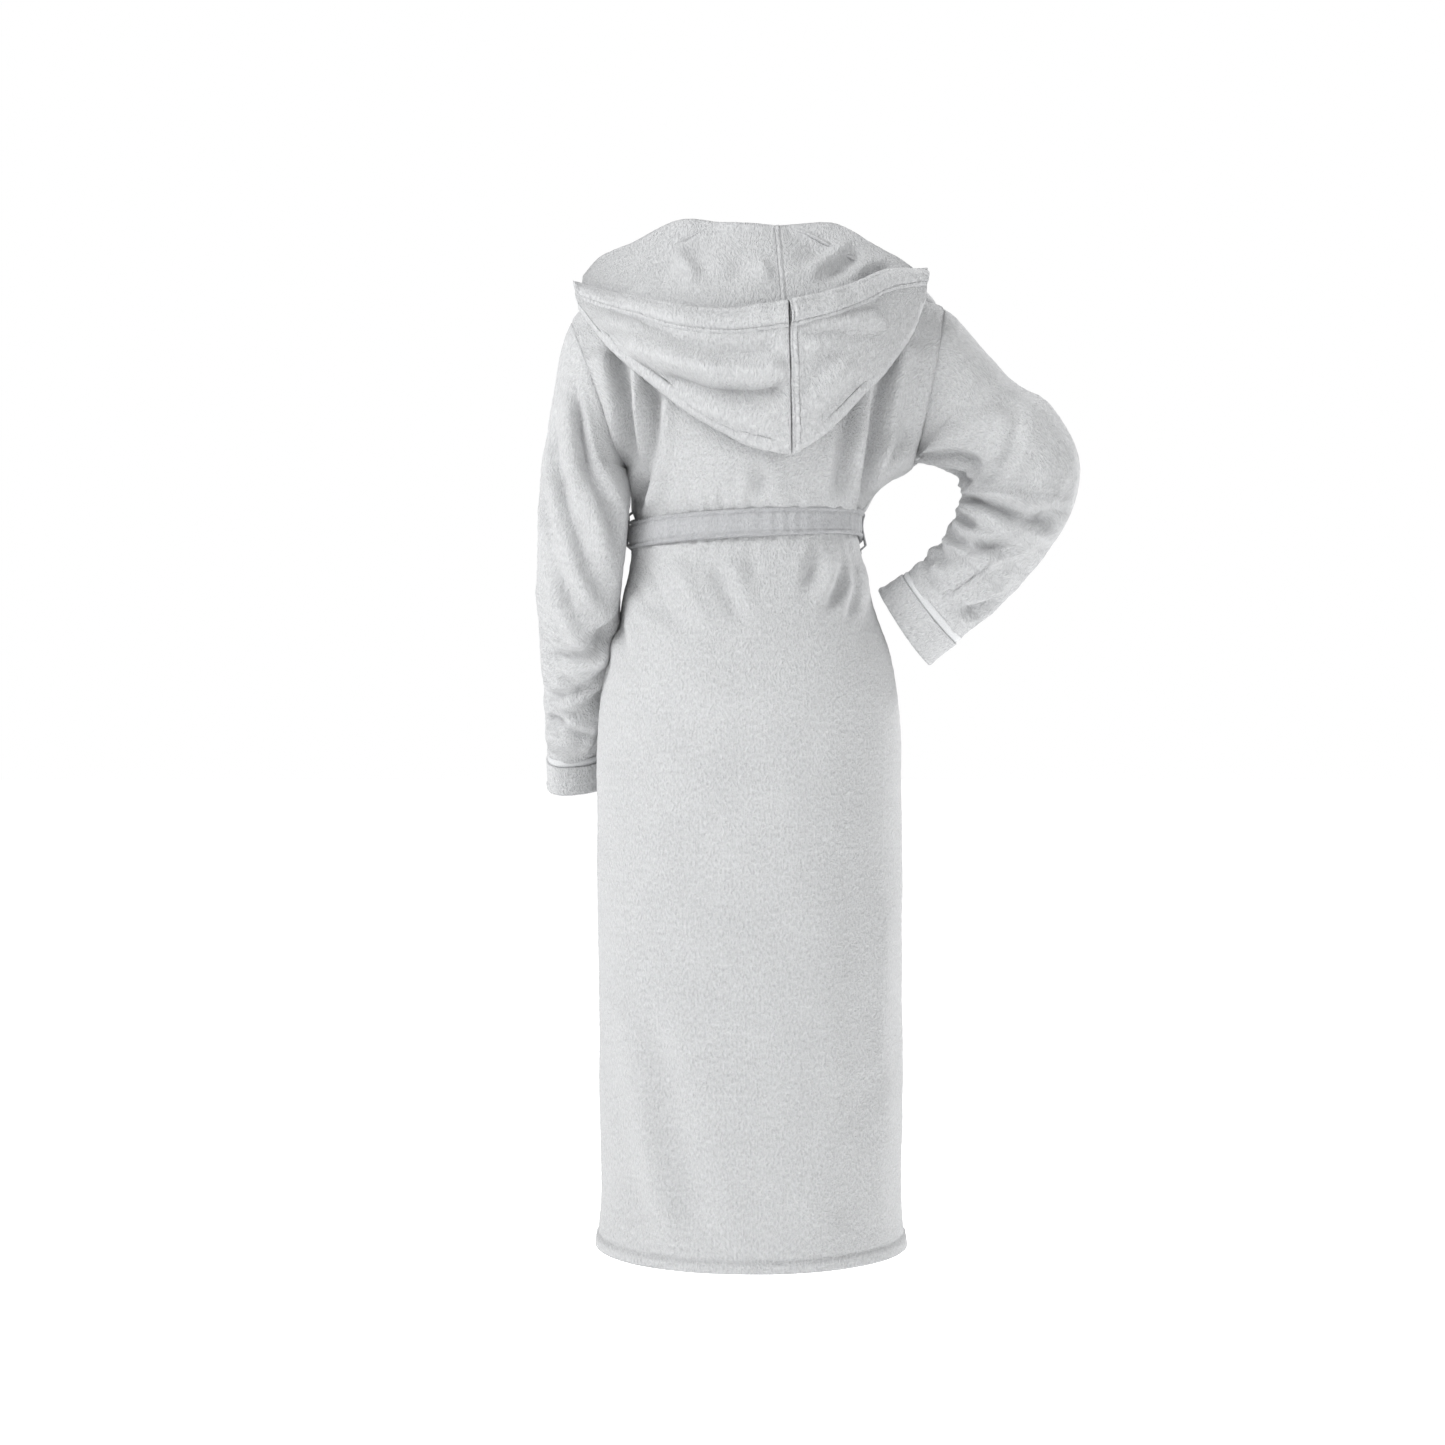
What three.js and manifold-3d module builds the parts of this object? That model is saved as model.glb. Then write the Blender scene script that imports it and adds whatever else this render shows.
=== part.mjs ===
// A hooded bathrobe of thick plush fleece, standing open as it is worn: back and wrapped
// front panels, shawl collar, hood thrown back, sleeves with turned cuffs, patch pockets
// and a tied belt. Millimetres, +Z up. The wearer's left is +X and the back faces +Y.
// The origin is the middle of the neck opening, level with the top of the back neck.
import * as THREE from 'three';
import { ParametricGeometry } from 'three/addons/geometries/ParametricGeometry.js';
import { mergeVertices } from 'three/addons/utils/BufferGeometryUtils.js';
import Module from 'manifold-3d';

const wasm = await Module();
wasm.setup();

// ---- Cloth and clearances -------------------------------------------------------------
const CLOTH = 4; // one layer of double-sided plush, pile to pile
const SEAM_GAP = 0.3; // between two pieces sewn edge to edge
const LAYER_GAP = 0.6; // between two layers lying on each other
const TAPE = 1.5; // satin tape and binding
const FAR = 900; // reaches past the robe in every direction

// ---- Body: sections from hem to neck --------------------------------------------------
// height, half-width to the wearer's left and right, depth in front and behind, squareness
const HEM_Z = -1245;
const WAIST_Z = -365;
const NECK_Z = -4;
const bodySections = [
  [HEM_Z, 189, 190, 158, 168, 2.2],
  [-1100, 188, 188, 156, 165, 2.2],
  [-900, 188, 188, 152, 158, 2.2],
  [-720, 191, 186, 148, 152, 2.2],
  [-620, 188, 185, 146, 154, 2.2],
  [-560, 183, 181, 142, 156, 2.2],
  [-510, 173, 172, 134, 150, 2.2],
  [-455, 160, 151, 124, 134, 2.2],
  [-415, 150, 141, 116, 118, 2.2],
  [-385, 145, 135, 111, 109, 2.2],
  [-345, 144, 134, 111, 107, 2.2],
  [-318, 149, 158, 117, 115, 2.2],
  [-285, 152, 192, 123, 124, 2.2],
  [-240, 160, 200, 126, 131, 2.2],
  [-180, 176, 206, 122, 130, 2.2],
  [-130, 192, 211, 108, 123, 2.1],
  [-100, 202, 211, 96, 116, 2.0],
  [-78, 198, 200, 86, 108, 1.9],
  [-55, 165, 165, 78, 98, 1.8],
  [-35, 120, 120, 74, 88, 1.9],
  [-18, 88, 88, 73, 78, 2.0],
  [NECK_Z, 78, 78, 72, 72, 2.0],
];
const BODY_SIDES = 36;

// ---- Front wrap: right over left ------------------------------------------------------
const WRAP_LIFT = CLOTH + LAYER_GAP + 0.4; // the right front passes over the left one
const WRAP_RISE = [-64, -32]; // where it climbs, left to right across the front
const LEFT_EDGE_X = -26; // the left front's edge, hidden under the right one
const RIGHT_EDGE_X = 62; // the right front's edge, in sight
const CROSSING_Z = -228; // where the two neck edges cross on the centre line

// ---- Armholes: a plane through each shoulder point and underarm point, along Y --------
const leftArmhole = { shoulder: [226, -100], underarm: [152, -292] };
const rightArmhole = { shoulder: [-240, -88], underarm: [-202, -281] };

// ---- Cuffs and trim -------------------------------------------------------------------
const CUFF_LENGTH = 48;
const PIPING_LENGTH = 10;
const CUFF_SWELL = 1.5; // the double cuff stands this much proud of the sleeve

// ---- Belt -----------------------------------------------------------------------------
const BELT_WIDTH = 35;
const BELT_THICK = 5;
const BELT_TAIL = 470;
const beltTop = WAIST_Z + BELT_WIDTH / 2;
const beltFoot = WAIST_Z - BELT_WIDTH / 2;
const KNOT = new THREE.Vector3(60, 34, 46);
const KNOT_X = 30;
const KNOT_PROUD = 3.2; // how far the knot's middle stands off the belt's outer face
const TAILS_APART = 4; // between the two tails, either side of the knot's middle
const TAIL_STEP = 40; // the wearer's left tail is this much longer

// ---- Pockets --------------------------------------------------------------------------
const POCKET_TOP = -492;
const POCKET_DEEP = 175;
const POCKET_BULGE = 20; // how far the outer face stands off the panel

const fleece = new THREE.MeshStandardMaterial({ color: 0xd2d3d4, roughness: 1, metalness: 0 });
const satin = new THREE.MeshStandardMaterial({ color: 0xe2e3e4, roughness: 0.35, metalness: 0 });
const labelCloth = new THREE.MeshStandardMaterial({ color: 0xf2f1ee, roughness: 0.7, metalness: 0 });

const robe = new THREE.Group();

// ---- Solids ---------------------------------------------------------------------------

// A closed body through rings of equal length, whose first and last rings are collapsed.
function loft(rings) {
  const last = rings.length - 1;
  const count = rings[0].length;
  const surface = new ParametricGeometry((u, v, target) => {
    target.copy(rings[Math.round(v * last)][Math.round(u * count) % count]);
  }, count, last);
  return toSolid(surface);
}

// A mesh with merged vertices and no collapsed triangles, as a solid facing outwards.
function toSolid(geometry) {
  const bare = geometry.index ? geometry.clone() : geometry;
  bare.deleteAttribute('normal');
  bare.deleteAttribute('uv');
  const merged = mergeVertices(bare, 1e-4);
  const corners = merged.index.array;
  const spots = Float32Array.from(merged.attributes.position.array);
  const triangles = [];
  for (let i = 0; i < corners.length; i += 3) {
    const [a, b, c] = [corners[i], corners[i + 1], corners[i + 2]];
    if (a !== b && b !== c && a !== c) triangles.push(a, b, c);
  }
  if (signedVolume(spots, triangles) < 0) triangles.reverse();
  return new wasm.Manifold(new wasm.Mesh({
    numProp: 3,
    vertProperties: spots,
    triVerts: Uint32Array.from(triangles),
  }));
}

function signedVolume(spots, triangles) {
  const corner = (k) => new THREE.Vector3().fromArray(spots, 3 * triangles[k]);
  let sum = 0;
  for (let i = 0; i < triangles.length; i += 3) {
    sum += corner(i).dot(corner(i + 1).cross(corner(i + 2)));
  }
  return sum / 6;
}

// Names a solid and hangs it in the robe.
function addNode(name, solid, material) {
  const mesh = solid.getMesh();
  const geometry = new THREE.BufferGeometry();
  geometry.setAttribute('position', new THREE.BufferAttribute(mesh.vertProperties, 3));
  geometry.setIndex(new THREE.BufferAttribute(mesh.triVerts, 1));
  geometry.computeVertexNormals();
  const node = new THREE.Mesh(geometry, material);
  node.name = name;
  robe.add(node);
}

function box(lowX, lowY, lowZ, highX, highY, highZ) {
  const block = new THREE.BoxGeometry(highX - lowX, highY - lowY, highZ - lowZ);
  block.translate((lowX + highX) / 2, (lowY + highY) / 2, (lowZ + highZ) / 2);
  return toSolid(block);
}

// An outline in the XZ plane, pushed through from one Y to another.
function prism(outline, lowY, highY) {
  const shape = new THREE.Shape(outline.map(([x, z]) => new THREE.Vector2(x, z)));
  const slab = new THREE.ExtrudeGeometry(shape, { depth: highY - lowY, bevelEnabled: false });
  slab.rotateX(Math.PI / 2);
  slab.translate(0, highY, 0);
  return toSolid(slab);
}

const middleOf = (ring) => ring
  .reduce((sum, p) => sum.add(p), new THREE.Vector3())
  .divideScalar(ring.length);

const collapsed = (ring) => ring.map(() => middleOf(ring));

// A sheet of cloth of some thickness about a grid of points, closed at all four edges.
function sheet(grid, thickness) {
  const side = (row, column) => {
    const up = grid[Math.min(row + 1, grid.length - 1)][column].clone()
      .sub(grid[Math.max(row - 1, 0)][column]);
    const along = grid[row][Math.min(column + 1, grid[row].length - 1)].clone()
      .sub(grid[row][Math.max(column - 1, 0)]);
    return up.cross(along).normalize();
  };
  const rings = grid.map((points, row) => {
    const front = points.map((p, c) => p.clone().addScaledVector(side(row, c), thickness / 2));
    const rear = points.map((p, c) => p.clone().addScaledVector(side(row, c), -thickness / 2));
    return [...front, ...rear.reverse()];
  });
  const zipped = (points) => [...points, ...[...points].reverse()];
  return loft([zipped(grid[0]), ...rings, zipped(grid[grid.length - 1])]);
}

// ---- Body shape -----------------------------------------------------------------------

const sectionAt = new THREE.CubicInterpolant(
  bodySections.map((s) => s[0]),
  bodySections.flatMap((s) => s.slice(1)),
  5,
);

// The point of the body's outer face at a turn (0 at the wearer's left, a quarter at the
// back) and height: a squared ellipse with its own reach on each of the four sides.
function bodyFace(turn, z) {
  const [left, right, front, back, square] = sectionAt.evaluate(z);
  const c = Math.cos(2 * Math.PI * turn);
  const s = Math.sin(2 * Math.PI * turn);
  const x = Math.sign(c) * Math.abs(c) ** (2 / square) * (c > 0 ? left : right);
  const y = Math.sign(s) * Math.abs(s) ** (2 / square) * (s > 0 ? back : front);
  return new THREE.Vector3(x, y, z);
}

// The same point pushed outwards, square to the face.
function bodyPoint(turn, z, offset) {
  const low = Math.max(z - 1, HEM_Z);
  const high = Math.min(z + 1, NECK_Z);
  const round = bodyFace(turn + 0.004, z).sub(bodyFace(turn - 0.004, z));
  const up = bodyFace(turn, high).sub(bodyFace(turn, low));
  return bodyFace(turn, z).addScaledVector(round.cross(up).normalize(), offset);
}

// How far back the body reaches at a place seen from behind, or nothing beyond its side.
function backReach(x, z) {
  const [left, right, , back, square] = sectionAt.evaluate(z);
  const part = Math.min(Math.abs(x) / (x > 0 ? left : right), 1);
  return back * (1 - part ** square) ** (1 / square);
}

function frontReach(x, z) {
  const [left, right, front, , square] = sectionAt.evaluate(z);
  const part = Math.min(Math.abs(x) / (x > 0 ? left : right), 1);
  return front * (1 - part ** square) ** (1 / square);
}

const bodyHeights = bodySections.flatMap(([z], i) => {
  const next = bodySections[i + 1];
  return next && next[0] - z > 70 && z < -380 ? [z, (z + next[0]) / 2] : [z];
});

// The body as a filled solid whose face is offset by a rule; it can reach past its ends.
function bodyFilled(offsetAt, reach = 0) {
  const turns = Array.from({ length: BODY_SIDES }, (_, i) => i / BODY_SIDES);
  const rings = bodyHeights.map((z) => turns.map((turn) => (
    bodyPoint(turn, z, offsetAt(bodyFace(turn, z)))
  )));
  if (reach > 0) {
    rings.unshift(rings[0].map((p) => p.clone().setZ(HEM_Z - reach)));
    rings.push(rings[rings.length - 1].map((p) => p.clone().setZ(NECK_Z + reach)));
  }
  return loft([collapsed(rings[0]), ...rings, collapsed(rings[rings.length - 1])]);
}

// The space between two offsets of the body's face.
function bodyLayer(innerAt, outerAt) {
  return bodyFilled(outerAt).subtract(bodyFilled(innerAt, 20));
}

const smooth = (value, low, high) => THREE.MathUtils.smoothstep(value, low, high);

// The right front's lift over the left one, on the front face only.
const wrapLift = (p) => (p.y < 0 ? WRAP_LIFT * smooth(p.x, ...WRAP_RISE) : 0);

// ---- Sleeves --------------------------------------------------------------------------

// One section of a sleeve: its middle, the way it looks along the arm, the way its first
// half-size points, and its two half-sizes.
const section = (middle, along, across, wide, deep) => ({
  middle: new THREE.Vector3(...middle),
  along: new THREE.Vector3(...along).normalize(),
  across: new THREE.Vector3(...across),
  wide,
  deep,
});

// The wearer's left arm hangs at the side, elbow a little behind, forearm forward.
const DOWN = [0, 0, -1];
const leftSleeveSections = [
  section([182, 5, -96], DOWN, [1, 0, 0], 24, 36),
  section([184, 5, -112], DOWN, [1, 0, 0], 40, 60),
  section([188, 6, -138], DOWN, [1, 0, 0], 46, 72),
  section([194, 8, -180], [0.1, 0.05, -1], [1, 0, 0], 50, 76),
  section([200, 14, -240], [0.1, 0.12, -1], [1, 0, 0], 51, 75),
  section([208, 25, -320], [0.08, 0.15, -1], [1, 0, 0], 52, 70),
  section([213, 30, -395], [0.06, -0.15, -1], [1, 0, 0], 50, 66),
  section([219, -14, -488], [0.03, -0.5, -1], [1, -0.15, 0], 45, 62),
  section([217, -64, -560], [0, -0.55, -1], [0.9, -0.4, 0], 40, 60),
  section([216, -92, -620], [0, -0.4, -1], [0.86, -0.5, 0], 38, 58),
  section([215, -113, -677], [0, -0.3, -1], [0.86, -0.5, 0], 38, 58),
];

// The other arm is bent, hand on hip: out and down to the elbow, then back in.
const ELBOW = [-250, 40, -328]; // the inside corner of the bend
const ELBOW_REACH = 78; // from that corner to the middle of the sleeve
const elbowSections = [138, 158, 178, 198, 218].map((degrees) => {
  const turn = THREE.MathUtils.degToRad(degrees);
  const out = [Math.cos(turn), 0, Math.sin(turn)];
  const middle = out.map((part, i) => ELBOW[i] + ELBOW_REACH * part);
  return section(middle, [-out[2], 0, out[0]], out, 73 - (degrees - 138) * 0.09, 66);
});
const rightSleeveSections = [
  section([-165, 4, -118], [-0.67, 0.1, -0.745], [-0.745, 0, 0.67], 44, 50),
  section([-194, 7, -150], [-0.67, 0.2, -0.745], [-0.745, 0, 0.67], 73, 70),
  section([-214, 12, -172], [-0.67, 0.2, -0.745], [-0.745, 0, 0.67], 74, 74),
  section([-262, 27, -226], [-0.67, 0.2, -0.745], [-0.745, 0, 0.67], 74, 71),
  ...elbowSections,
  section([-273, 30, -411], [0.65, -0.15, -0.76], [-0.76, 0, -0.65], 60, 58),
  section([-236, 20, -452], [0.7, -0.2, -0.7], [-0.7, 0, -0.71], 58, 50),
  section([-193, 8, -484], [0.84, -0.2, -0.55], [-0.55, 0, -0.84], 56, 46),
];
const SLEEVE_SIDES = 24;

function sectionRing(part, offset) {
  const across = part.across.clone()
    .addScaledVector(part.along, -part.across.dot(part.along)).normalize();
  const deep = new THREE.Vector3().crossVectors(part.along, across);
  return Array.from({ length: SLEEVE_SIDES }, (_, i) => {
    const angle = (2 * Math.PI * i) / SLEEVE_SIDES;
    return part.middle.clone()
      .addScaledVector(across, Math.cos(angle) * (part.wide + offset))
      .addScaledVector(deep, Math.sin(angle) * (part.deep + offset));
  });
}

// A sleeve as a filled solid, offset from its outer face; it can reach past its mouth.
function sleeveFilled(sections, offset, reach = 0) {
  const rings = sections.map((part) => sectionRing(part, offset));
  const mouth = sections[sections.length - 1];
  if (reach > 0) {
    rings.push(rings[rings.length - 1].map((p) => p.clone().addScaledVector(mouth.along, reach)));
  }
  return loft([collapsed(rings[0]), ...rings, collapsed(rings[rings.length - 1])]);
}

// Everything on the sleeve's side of an armhole plane, moved off it by a gap.
function beyondArmhole({ shoulder, underarm }, gap) {
  const side = Math.sign(shoulder[0]);
  const slope = (underarm[0] - shoulder[0]) / (underarm[1] - shoulder[1]);
  const edge = (z) => shoulder[0] + side * gap + slope * (z - shoulder[1]);
  const top = 100;
  const foot = underarm[1] - 15;
  return { side, edge, top, foot };
}

function sleeveSpace(armhole) {
  const { side, edge, top, foot } = beyondArmhole(armhole, SEAM_GAP / 2);
  const low = prism([[edge(top), top], [edge(foot), foot], [side * FAR, foot], [side * FAR, top]], -FAR, FAR);
  const inner = side > 0 ? Math.min(edge(foot), 120) : Math.max(edge(foot), -120);
  const below = prism([[inner, foot], [inner, -FAR], [side * FAR, -FAR], [side * FAR, foot]], -FAR, FAR);
  return low.add(below);
}

function bodySpace(armhole) {
  const { side, edge, top, foot } = beyondArmhole(armhole, -SEAM_GAP / 2);
  return prism([[edge(top), top], [edge(foot), foot], [0, foot], [0, top]], -FAR, FAR);
}

// The space from one distance to another along a sleeve, measured back from its mouth.
function mouthSlab(sections, near, far) {
  const mouth = sections[sections.length - 1];
  const slab = new THREE.BoxGeometry(190, 190, far - near);
  slab.translate(0, 0, -(near + far) / 2);
  const turn = new THREE.Quaternion().setFromUnitVectors(new THREE.Vector3(0, 0, 1), mouth.along);
  slab.applyQuaternion(turn);
  slab.translate(...mouth.middle);
  return toSolid(slab);
}

const sleeveHollows = {};
for (const [side, sections, armhole] of [
  ['left', leftSleeveSections, leftArmhole],
  ['right', rightSleeveSections, rightArmhole],
]) {
  const hollow = sleeveFilled(sections, -CLOTH, 30);
  const tube = sleeveFilled(sections, 0).subtract(hollow);
  const trimFoot = CUFF_LENGTH + SEAM_GAP;
  const trimHead = trimFoot + PIPING_LENGTH;
  const forearm = mouthSlab(sections, -40, trimHead + SEAM_GAP);
  addNode(`${side}_sleeve`, tube.intersect(sleeveSpace(armhole)).subtract(forearm), fleece);
  const doubled = sleeveFilled(sections, CUFF_SWELL, 0).subtract(hollow);
  addNode(`${side}_cuff`, doubled.intersect(mouthSlab(sections, -10, CUFF_LENGTH)), fleece);
  addNode(`${side}_cuff_piping`, doubled.intersect(mouthSlab(sections, trimFoot, trimHead)), satin);
  sleeveHollows[side] = hollow;
  sleeveHollows[`${side}_cap`] = sleeveFilled(sections, 0).intersect(bodySpace(armhole));
}

// ---- Body panels ----------------------------------------------------------------------

// The robe's body in one skin, armholes open, with its face lifted by a rule.
function bodySkin(lift) {
  const outer = bodyFilled(lift).add(sleeveHollows.left_cap).add(sleeveHollows.right_cap);
  const inner = bodyFilled((p) => lift(p) - CLOTH, 20);
  return outer.subtract(inner).subtract(sleeveHollows.left).subtract(sleeveHollows.right);
}

const level = () => 0;
const flatSkin = bodySkin(level);
const behindSeam = box(-FAR, SEAM_GAP / 2, -2 * FAR, FAR, FAR, FAR);
addNode('back_panel', flatSkin.intersect(behindSeam), fleece);

// The neck edge of each front, from the side of the neck down to the wrap at the belt.
const neckEdge = (side) => [
  [side * 82, 60], [side * 77, 0], [side * 66, -70], [side * 40, -155], [0, CROSSING_Z],
];
const leftFront = [
  ...neckEdge(1), [LEFT_EDGE_X, -290], [LEFT_EDGE_X, -1.5 * FAR], [FAR, -1.5 * FAR], [FAR, 60],
];
const rightFront = [
  ...neckEdge(-1), [38, -300], [RIGHT_EDGE_X, WAIST_Z], [RIGHT_EDGE_X, -1.5 * FAR],
  [-FAR, -1.5 * FAR], [-FAR, 60],
];
addNode('left_front_panel', flatSkin.intersect(prism(leftFront, -FAR, -SEAM_GAP / 2)), fleece);
addNode(
  'right_front_panel',
  bodySkin(wrapLift).intersect(prism(rightFront, -FAR, -SEAM_GAP / 2)),
  fleece,
);

// ---- Shawl collar, which carries the hood's front round the shoulders -----------------
const COLLAR_BACK_Y = 61.7;
const COLLAR_STAND = 17; // its rolled height on the shoulder
const COLLAR_FLAT = 6; // and down the front
const collarFoot = WAIST_Z + BELT_WIDTH / 2 + 8;
const collarInner = (p) => wrapLift(p) + LAYER_GAP;
const collarOuter = (p) => (
  collarInner(p) + COLLAR_FLAT + (COLLAR_STAND - COLLAR_FLAT) * smooth(p.z, -150, -60)
);
const collarSkin = bodyLayer(collarInner, collarOuter)
  .subtract(sleeveFilled(leftSleeveSections, LAYER_GAP))
  .subtract(sleeveFilled(rightSleeveSections, LAYER_GAP));
const rightCollar = [
  ...neckEdge(-1), [37, -300], [50, collarFoot], [12, collarFoot], [-26, -300],
  [-84, -225], [-140, -160], [-178, -118], [-206, -86], [-206, 60],
];
const leftCollar = [
  ...neckEdge(1).slice(0, -1), [3, CROSSING_Z + 8], [30, -268], [84, -225],
  [140, -160], [178, -118], [206, -86], [206, 60],
];
addNode('right_collar', collarSkin.intersect(prism(rightCollar, -FAR, COLLAR_BACK_Y)), fleece);
addNode('left_collar', collarSkin.intersect(prism(leftCollar, -FAR, COLLAR_BACK_Y)), fleece);

// ---- Hood, thrown back: from the neck down inside the bag, round its foot, up outside --
const HOOD_BAND = 24; // height of the rolled casing round the hood's face edge
const HOOD_BAND_THICK = 8;
const HOOD_STAND = 8; // how far the bag stands off the back at the neck; its foot rests there
const HOOD_ROWS = [7, 7]; // rows on the inner and on the outer wall
const spline = (points) => new THREE.CatmullRomCurve3(
  points.map((p) => new THREE.Vector3(...p)),
  false,
  'centripetal',
);
// neck edge, foot and face edge of each half, from its side seam end to the centre seam
const hoodHalves = {
  left: {
    neck: spline([[204, 66, -62], [187, 66, -42], [145, 66, -22], [84, 67, 6], [30, 74, 0], [-28, 75, -4]]),
    foot: spline([[206, 66, -96], [165, 90, -150], [115, 120, -196], [60, 135, -238], [10, 132, -270], [-46, 130, -286]]),
    face: spline([[216, 66, -72], [164, 96, -90], [125, 122, -104], [88, 148, -114], [28, 163, -120], [-42, 168, -108]]),
  },
  right: {
    neck: spline([[-204, 66, -60], [-190, 66, -48], [-152, 66, -26], [-98, 66, 2], [-60, 71, 0], [-28, 75, -4]]),
    foot: spline([[-206, 66, -88], [-190, 80, -128], [-168, 96, -163], [-115, 118, -222], [-80, 126, -262], [-46, 130, -286]]),
    face: spline([[-212, 66, -56], [-197, 76, -58], [-160, 100, -67], [-124, 128, -83], [-90, 150, -96], [-42, 168, -108]]),
  },
};
const SEAM_STOP = 0.998; // each half stops just short of the centre seam

// A place on the hood's inner wall (0 to 1 down from the neck) clear of the back panel.
function innerWall(neck, foot, down) {
  const place = neck.clone().lerp(foot, down);
  const clear = backReach(place.x, place.z) + CLOTH / 2 + HOOD_STAND * (1 - down);
  return place.setY(Math.max(place.y, clear));
}

function outerWall(foot, face, rise) {
  const start = foot.clone();
  start.y += 9;
  const place = start.lerp(face, rise);
  place.y += 12 * Math.sin(Math.PI * rise) * (1 - rise * 0.4);
  return place;
}

let seamNeighbour = null;
for (const [side, { neck, foot, face }] of Object.entries(hoodHalves)) {
  const columns = Array.from({ length: 15 }, (_, i) => (i / 14) * SEAM_STOP);
  const lines = columns.map((c) => {
    const [top, rim] = [neck.getPointAt(c), face.getPointAt(c)];
    const base = innerWall(top, foot.getPointAt(c), 1);
    return { top, base, rim };
  });
  const bandPart = (line) => HOOD_BAND / Math.max(line.rim.distanceTo(line.base), HOOD_BAND + 6);
  const rows = [];
  for (let i = 0; i < HOOD_ROWS[0]; i += 1) {
    rows.push(lines.map(({ top, base }) => innerWall(top, base, i / HOOD_ROWS[0])));
  }
  rows.push(lines.map(({ base }) => base.clone().add(new THREE.Vector3(0, 1, -2))));
  rows.push(lines.map(({ base }) => base.clone().add(new THREE.Vector3(0, 8, -2))));
  for (let i = 1; i <= HOOD_ROWS[1]; i += 1) {
    rows.push(lines.map((line) => {
      const rise = (i / HOOD_ROWS[1]) * (1 - bandPart(line)) - 0.004;
      return outerWall(line.base, line.rim, rise);
    }));
  }
  const half = sheet(rows, CLOTH);
  const band = [0, 0.5, 1].map((part) => lines.map((line) => (
    outerWall(line.base, line.rim, 1 - bandPart(line) * (1 - part) + 0.004)
  )));
  const halfSpace = sheet(rows, CLOTH + 2 * SEAM_GAP).add(half);
  const casing = sheet(band, HOOD_BAND_THICK).subtract(halfSpace);
  const isFirst = seamNeighbour === null;
  addNode(`hood_${side}_half`, isFirst ? half : half.subtract(seamNeighbour), fleece);
  addNode(`hood_${side}_band`, isFirst ? casing : casing.subtract(seamNeighbour), fleece);
  seamNeighbour = halfSpace.add(sheet(band, HOOD_BAND_THICK + 2 * SEAM_GAP));
}

// ---- Belt: a band round the waist, a knot in front and two hanging tails --------------
function beltLift(p) {
  if (p.y >= 0) return LAYER_GAP;
  const rise = smooth(p.x, WRAP_RISE[0] - 30, WRAP_RISE[0]);
  const fall = smooth(p.x, RIGHT_EDGE_X + 6, RIGHT_EDGE_X + 36);
  return LAYER_GAP + WRAP_LIFT * rise * (1 - fall);
}
const beltLayer = bodyLayer(beltLift, (p) => beltLift(p) + BELT_THICK);
addNode('belt_band', beltLayer.intersect(box(-FAR, -FAR, beltFoot, FAR, FAR, beltTop)), fleece);

const knotY = -(frontReach(KNOT_X, WAIST_Z) + WRAP_LIFT + LAYER_GAP + BELT_THICK + KNOT_PROUD);
const knotShape = new THREE.SphereGeometry(0.5, 20, 12);
knotShape.rotateX(Math.PI / 2);
knotShape.scale(KNOT.x, KNOT.y, KNOT.z);
knotShape.translate(KNOT_X, knotY, WAIST_Z);
const beltSpace = bodyFilled((p) => beltLift(p) + BELT_THICK + SEAM_GAP, 20);
addNode('belt_knot', toSolid(knotShape).subtract(beltSpace), fleece);

const tailTop = WAIST_Z - KNOT.z / 2 - 2;
const tailLayer = bodyLayer(
  (p) => wrapLift(p) + LAYER_GAP,
  (p) => wrapLift(p) + LAYER_GAP + BELT_THICK,
);
const tailEdges = { right: KNOT_X - TAILS_APART / 2 - BELT_WIDTH, left: KNOT_X + TAILS_APART / 2 };
for (const [side, lowX] of Object.entries(tailEdges)) {
  const length = side === 'left' ? BELT_TAIL : BELT_TAIL - TAIL_STEP;
  const strip = box(lowX, -FAR, tailTop - length, lowX + BELT_WIDTH, 0, tailTop);
  addNode(`belt_${side}_tail`, tailLayer.intersect(strip), fleece);
}

// ---- Belt loops at the side seams -----------------------------------------------------
const LOOP_WIDE = 12;
const loopHead = beltTop + 11;
const loopFoot = beltFoot - 11;
const loopOver = (p) => beltLift(p) + BELT_THICK + LAYER_GAP;
const loopBlock = bodyLayer(() => SEAM_GAP, (p) => loopOver(p) + TAPE);
const loopSpace = bodyFilled(loopOver, 20).intersect(
  box(-FAR, -FAR, beltFoot - 3, FAR, FAR, beltTop + 3),
);
for (const [side, low, high] of [['left', 0, FAR], ['right', -FAR, 0]]) {
  const strip = box(low, -LOOP_WIDE / 2, loopFoot, high, LOOP_WIDE / 2, loopHead);
  addNode(`${side}_belt_loop`, loopBlock.intersect(strip).subtract(loopSpace), fleece);
}

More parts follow.
